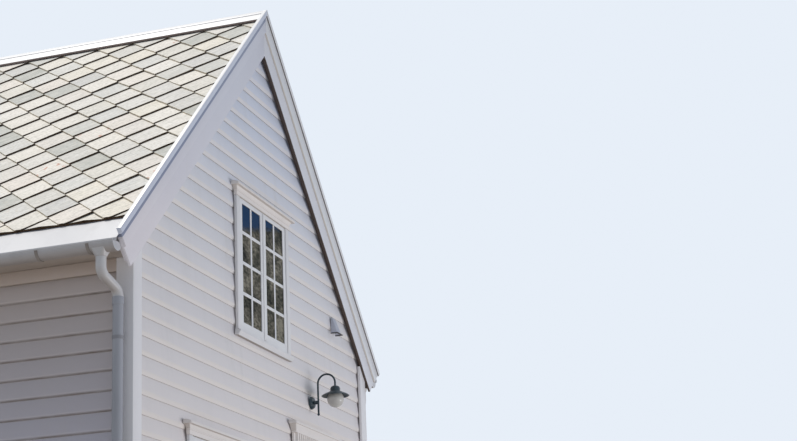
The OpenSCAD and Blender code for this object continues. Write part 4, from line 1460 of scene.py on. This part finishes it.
    def cut(self, obj: Body, cutter: Shape) -> None:
        """Takes a cutter's shape out of an object.

        Args:
            obj: the object.
            cutter: what is taken out.
        """
        tool = cutter.object("cutter")
        modifier = obj.modifiers.new("cut", "BOOLEAN")
        modifier.operation, modifier.solver, modifier.object = "DIFFERENCE", "EXACT", tool
        graph = bpy.context.evaluated_depsgraph_get()
        data = bpy.data.meshes.new_from_object(obj.evaluated_get(graph), depsgraph=graph)
        obj.modifiers.remove(modifier)
        obj.data = data
        bpy.data.objects.remove(tool)

    def build(self) -> None:
        """Makes all the walls."""
        house = self.house
        for end, label in ((End.FRONT, "front"), (End.BACK, "back")):
            self.end_wall(f"{label}_wall", end, house.plinth_z, house.split_z)
            self.end_wall(f"{label}_gable", end, house.split_z, house.ridge_z)
        for side in Side:
            self.side_wall(side)


@dataclass
class Roof(Assembly):
    """Slates on both slopes, ridge boards and the boarding under them."""

    tree: SlateTree = field(default_factory=SlateTree)
    parts: tuple[Dressing, ...] = (
        Fitting("ridge_boards", Finishes.ridge, 0.009, "sheet_cap", segments=3),
        Dressing("roof_deck_left", Finishes.deck), Dressing("roof_deck_right", Finishes.deck))
    side: float = 0.26517
    overlap: float = 0.020
    thickness: float = 0.0138
    chipping: float = 0.010
    first: Point = (-3.0615, -0.6135, 0.0045)
    columns: int = 17
    rows: int = 25
    eave_s: float = -0.212
    top_s: float = 3.560
    top_over: float = 0.009
    end_gap: float = 0.001
    smooth: float = 30.0
    seeds: tuple[tuple[Side, int], ...] = ((Side.LEFT, 5), (Side.RIGHT, 41))

    def slope(self, side: Side) -> Matrix:
        """Carries the slope's own plan onto that side of the roof.

        Args:
            side: which side of the roof.

        Returns:
            The move.
        """
        left = Matrix(((0, HALF_ROOT, -HALF_ROOT, -self.house.half_w), (-1, 0, 0, 0),
                       (0, HALF_ROOT, HALF_ROOT, self.house.slate_z), (0, 0, 0, 1)))
        return self.house.set_out @ side.turn @ left

    def slates(self, side: Side, seed: int) -> None:
        """Lays one side's slates.

        Args:
            side: which side of the roof.
            seed: the seed of their tones and places.
        """
        name = f"slates_{side.name.lower()}"
        end = self.house.slate_end - self.end_gap
        # The edge materials are dark painted shade and pale painted light.
        made = self.tree.apply(plain_host(name), name + "_laid", {
            "Side": self.side, "Overlap": self.overlap, "Thickness": self.thickness,
            "First Corner": self.first, "Columns": self.columns, "Rows": self.rows,
            "Low Edge": (-end, self.eave_s, 0.0), "High Edge": (end, self.top_s, self.top_over),
            "Chipping": self.chipping, "Seed": seed, "Face Material": Finishes.slate.material(),
            "Edge Material": Finishes.shaded_slate_edge.material(), "Back Edge Material": Finishes.lit_slate_edge.material()})
        cleaned(made, self.slope(side), recalculate=False)
        shade(made, self.smooth)
        place_piece(made, [name])

    def build(self) -> None:
        """Lays the slates of both slopes and makes the rest of the roof."""
        for side, seed in self.seeds:
            self.slates(side, seed)
        super().build()


@dataclass
class Base(Assembly):
    """The stone plinth, with blocks in courses over a mortar bed, the steps and the floors."""

    tree: StoneTree = field(default_factory=StoneTree)
    parts: tuple[Dressing, ...] = (
        Fitting("front_steps", Finishes.step, 0.012, "plinth_stone", segments=3, kind="worn"),
        Dressing("ground_floor", Finishes.floor), Dressing("attic_floor", Finishes.floor))
    joint: float = 0.008
    bed_gap: float = 0.010
    top_gap: float = 0.003
    face_gap: float = 0.004
    long_stone: Flat = (0.6, 0.85)
    stone_length: Flat = (0.36, 0.66)
    bond_seed: int = 11
    tone_seed: int = 21
    roughness: float = 0.010
    grain_scale: float = 9.0
    worn_arris: float = 0.985
    smooth: float = 30.0
    courses: tuple[float, ...] = (0.205, 0.200, 0.195)

    @property
    def half(self) -> Flat:
        """Half the plinth's width and depth."""
        return self.house.half_w - self.house.plinth_inset, self.house.half_d - self.house.plinth_inset

    def run(self, length: float, dice: random.Random) -> list[Flat]:
        """Splits a course into blocks.

        Args:
            length: the course's length.
            dice: the source of chance.

        Returns:
            Each block's middle and length.
        """
        cuts, at = [0.0], 0.0
        while length - at > self.long_stone[1]:
            at += dice.uniform(*self.stone_length)
            cuts.append(at)
        if length - at > self.long_stone[0]:
            cuts.append((at + length) / 2)
        cuts.append(length)
        return [((a + b) / 2 - length / 2, b - a) for a, b in zip(cuts, cuts[1:])]

    def blocks(self) -> list[Block]:
        """The stones in courses on all four sides, with their bond turned at each corner.

        Returns:
            The stones.
        """
        dice = random.Random(self.bond_seed)
        thick = self.house.plinth_t
        blocks: list[Block] = []
        foot = 0.0
        for number, tall in enumerate(self.courses):
            for quarter in range(4):
                across, out = self.half if quarter % 2 == 0 else self.half[::-1]
                length = 2 * across - (0 if (number + quarter) % 2 else 2 * thick)
                turn = quarter * math.pi / 2
                for middle, long in self.run(length, dice):
                    spot = Matrix.Rotation(turn, 4, "Z") @ Vector((middle, -out + thick / 2, foot + tall / 2))
                    size = (long - self.joint, thick - self.face_gap, tall - self.joint)
                    blocks.append(Block(tuple(spot), size, turn))
            foot += tall
        return blocks

    def stone(self) -> Body:
        """One stone of unit size, with its edges drawn in a little.

        Returns:
            The stone.
        """
        tile = Shape().box((-0.5, -0.5, -0.5), (0.5, 0.5, 0.5))
        bmesh.ops.subdivide_edges(tile.mesh, edges=tile.mesh.edges[:], cuts=3, use_grid_fill=True)
        for vert in tile.mesh.verts:
            at_face = [abs(c) > 0.499 for c in vert.co]
            if sum(at_face) >= 2:
                vert.co = Vector(tuple(c * (self.worn_arris if hit else 1.0) for c, hit in zip(vert.co, at_face)))
        return tile.object("stone_shape")

    def stones(self) -> Body:
        """Sets all the stones and trims them to the plinth's faces.

        Returns:
            The stones as one mesh.
        """
        shape = self.stone()
        made = self.tree.apply(point_cloud("plinth_points", self.blocks()), "plinth_stones", {
            "Tile": shape, "Roughness": self.roughness, "Grain Scale": self.grain_scale, "Seed": self.tone_seed,
            "Material": Finishes.plinth.material()})
        bpy.data.objects.remove(shape)
        half_x, half_y = self.half
        for vert in made.data.vertices:
            vert.co = Vector((max(-half_x, min(half_x, vert.co.x)), max(-half_y, min(half_y, vert.co.y)),
                              max(0.0, min(self.house.plinth_z, vert.co.z))))
        return made

    def bed(self) -> Body:
        """The mortar behind and between the stones.

        Returns:
            The mortar.
        """
        half_x, half_y = (half - self.bed_gap for half in self.half)
        deep = self.house.plinth_t - 2 * self.bed_gap
        top = self.house.plinth_z - self.top_gap
        core = Shape()
        for sign in (-1, 1):
            near, far = sorted((sign * half_y, sign * (half_y - deep)))
            core.box((-half_x, near, 0.0), (half_x, far, top))
            near, far = sorted((sign * half_x, sign * (half_x - deep)))
            core.box((near, -half_y + deep, 0.0), (far, half_y - deep, top))
        return core.object("plinth_bed", Finishes.mortar)

    def build(self) -> None:
        """Makes the plinth, the steps and the floors."""
        stones = self.stones()
        whole = cleaned(joined("plinth_built", [stones, self.bed()]), self.house.set_out)
        shade(whole, self.smooth)
        place_piece(whole, ["plinth"])
        super().build()


@dataclass
class Trim(Assembly):
    """Bargeboards, verge caps, corner boards and the boxed eaves."""

    parts: tuple[Dressing, ...] = (
        Fitting("front_left_inner_board", Finishes.left_barge, 0.003),
        Fitting("front_left_outer_board", Finishes.left_barge, 0.003),
        Fitting("front_right_inner_board", Finishes.right_inner, 0.003),
        Fitting("front_right_outer_board", Finishes.right_outer, 0.003),
        Fitting("back_inner_boards", Finishes.left_barge, 0.003),
        Fitting("back_outer_boards", Finishes.left_barge, 0.003),
        Fitting("front_left_verge_cap", Finishes.left_cap, 0.002, "sheet_cap"),
        Fitting("front_right_verge_cap", Finishes.right_cap, 0.002, "sheet_cap"),
        Fitting("back_verge_caps", Finishes.cap, 0.002, "sheet_cap"),
        Fitting("soffits", Finishes.trim_y, 0.002),
        Fitting("fascias", Finishes.trim_y, 0.002),
        Fitting("friezes", Finishes.frieze, 0.003),
        Fitting("eave_aprons", Finishes.gutter, slot="white_sheet"),
        Fitting("corner_boards", Finishes.corner, 0.003))


@dataclass
class Rainwater(Assembly):
    """Gutters, hooks, outlets, swan necks, downpipes and their clips."""

    parts: tuple[Dressing, ...] = (
        Fitting("gutter_left", Finishes.gutter, 0.0, "white_sheet", smooth=30, kind="smooth"),
        Fitting("gutter_right", Finishes.gutter, 0.0, "white_sheet", smooth=30, kind="smooth"),
        Fitting("gutter_hooks", Finishes.hook, 0.0008, "white_sheet", segments=1, kind="smooth"),
        Fitting("gutter_outlets", Finishes.neck, 0.0015, "white_sheet", segments=1, smooth=20, kind="smooth"),
        Fitting("swan_necks", Finishes.neck, 0.0, "white_sheet", smooth=40, kind="smooth"),
        Fitting("downpipes", Finishes.pipe, 0.0, "white_sheet", smooth=40, kind="smooth"),
        Fitting("pipe_clips", Finishes.clip, 0.0, "white_sheet", smooth=40, kind="smooth"))


@dataclass
class Joinery(Assembly):
    """Windows and the entrance."""

    parts: tuple[Dressing, ...] = (
        Fitting("window_frames", Finishes.trim_z, 0.002),
        Fitting("window_casings", Finishes.trim_z, 0.003),
        Fitting("window_heads", Finishes.head, 0.002),
        Fitting("window_sills", Finishes.trim_x, 0.003),
        Fitting("left_sashes", Finishes.sash, 0.002),
        Fitting("right_sashes", Finishes.sash, 0.002),
        Fitting("door_frame", Finishes.trim_z, 0.003),
        Fitting("door_casings", Finishes.trim_z, 0.003),
        Fitting("door_head", Finishes.head, 0.002),
        Fitting("door_leaf", Finishes.door, 0.003, "door_green"),
        Dressing("window_glass", Finishes.glass))


@dataclass
class WallFittings(Assembly):
    """The gooseneck lamp over the entrance and the vent hood in the gable."""

    parts: tuple[Dressing, ...] = (
        Fitting("lamp_bracket", Finishes.lamp, 0.0, "lamp_green", smooth=40, kind="smooth"),
        Fitting("lamp_shade", Finishes.lamp, 0.0, "lamp_green", smooth=40, kind="smooth"),
        Fitting("lamp_globe", Finishes.opal, 0.0, "lamp_opal", smooth=60, kind="smooth"),
        Fitting("vent_hood", Finishes.vent, 0.0015, "vent_grey"))


@dataclass(frozen=True)
class Studio:
    """Pale floor and background, soft lights and the camera."""

    floor: Colour = (0.45, 0.45, 0.455)
    floor_reach: float = 400.0
    floor_roughness: float = 0.8
    sky: Colour = (0.80, 0.86, 0.94)
    ambient: Colour = (0.62, 0.76, 1.0)
    ambient_strength: float = 0.22
    key_way: Point = (0.10, -0.30, -0.95)
    key_colour: Colour = (1.0, 0.965, 0.92)
    key_strength: float = 3.2
    key_spread: float = 5.0
    fill_place: Point = (1.5, -9.5, 0.8)
    fill_aim: Point = (0.0, 0.0, 3.4)
    fill_size: Flat = (7.0, 1.4)
    fill_power: float = 350.0
    fill_colour: Colour = (0.94, 0.94, 1.0)
    sensor: float = 36.0
    lens: float = 76.16
    shift_y: float = -0.0098
    clip: Flat = (0.1, 1000.0)
    eye: Point = (-13.5521, -5.7013, 0.6581)
    turn: tuple[float, float, float, float] = (0.47031478, 0.65907989, -0.46199001, -0.36191565)

    def background(self) -> None:
        """Sets a plain background that the camera and shiny surfaces see, and the soft ambient light."""
        world = bpy.data.worlds.new("studio_air")
        bpy.context.scene.world = world
        world.use_nodes = True
        world.node_tree.nodes.clear()
        graph = Graph(world.node_tree)
        path = graph.node("ShaderNodeLightPath").outputs
        seen = graph.math("MAXIMUM", graph.math("MAXIMUM", path["Is Camera Ray"], path["Is Glossy Ray"]),
                          path["Is Transmission Ray"])
        plain = graph.node("ShaderNodeBackground", {"Color": opaque(self.sky), "Strength": 1.0})
        soft = graph.node("ShaderNodeBackground", {"Color": opaque(self.ambient), "Strength": self.ambient_strength})
        both = graph.node("ShaderNodeMixShader", {0: seen, 1: soft, 2: plain})
        graph.node("ShaderNodeOutputWorld", {"Surface": both})

    def light(self, name: str, kind: str, way: Vector, power: float, colour: Colour) -> Body:
        """Adds a light at the origin.

        Args:
            name: the light's name.
            kind: SUN or AREA.
            way: the way its light travels.
            power: its strength, in watts for a panel.
            colour: its colour.

        Returns:
            The light.
        """
        data = bpy.data.lights.new(name, kind)
        data.energy, data.color = power, colour
        light = linked(name, data)
        light.rotation_mode = "QUATERNION"
        light.rotation_quaternion = way.to_track_quat("-Z", "Y")
        return light

    def lamps(self) -> Body:
        """Adds the soft distant key light and the low panel in front.

        Returns:
            The panel.
        """
        key = self.light("key_light", "SUN", Vector(self.key_way), self.key_strength, self.key_colour)
        key.data.angle = math.radians(self.key_spread)
        way = Vector(self.fill_aim) - Vector(self.fill_place)
        fill = self.light("front_fill", "AREA", way, self.fill_power, self.fill_colour)
        fill.data.shape, fill.data.size, fill.data.size_y = "RECTANGLE", *self.fill_size
        fill.location = self.fill_place
        fill.visible_camera = False
        return fill

    def ground(self) -> Body:
        """Lays the pale floor.

        Returns:
            The floor.
        """
        far = self.floor_reach
        shape = Shape()
        shape.mesh.faces.new([shape.mesh.verts.new((x * far, y * far, 0))
                              for x, y in ((-1, -1), (1, -1), (1, 1), (-1, 1))])
        floor = shape.object("studio_floor", Finish("studio_floor_paint", self.floor, self.floor_roughness))
        return floor

    def spare(self, light: Body, floor: Body) -> None:
        """Keeps a low panel's light off the floor in front of it.

        Args:
            light: the panel.
            floor: the floor.
        """
        reached = bpy.data.collections.new(f"{light.name}_receivers")
        reached.objects.link(floor)
        reached.collection_objects[0].light_linking.link_state = "EXCLUDE"
        light.light_linking.receiver_collection = reached

    def camera(self) -> None:
        """Sets the camera at the photograph's own viewing angle."""
        data = bpy.data.cameras.new("photo_camera")
        data.sensor_width, data.lens, data.shift_y = self.sensor, self.lens, self.shift_y
        data.clip_start, data.clip_end = self.clip
        camera = linked("photo_camera", data)
        camera.location = self.eye
        camera.rotation_mode = "QUATERNION"
        camera.rotation_quaternion = self.turn
        bpy.context.scene.camera = camera

    def build(self) -> None:
        """Sets up the whole studio."""
        bpy.context.scene.view_settings.view_transform = "Standard"
        self.background()
        self.spare(self.lamps(), self.ground())
        self.camera()


def main() -> None:
    """Builds the studio and the house wing in order."""
    logging.basicConfig(level=logging.INFO, format="%(message)s")
    for assembly in (Studio, Base, Walls, Roof, Trim, Rainwater, Joinery, WallFittings):
        assembly().build()


if __name__ == "__main__":
    main()
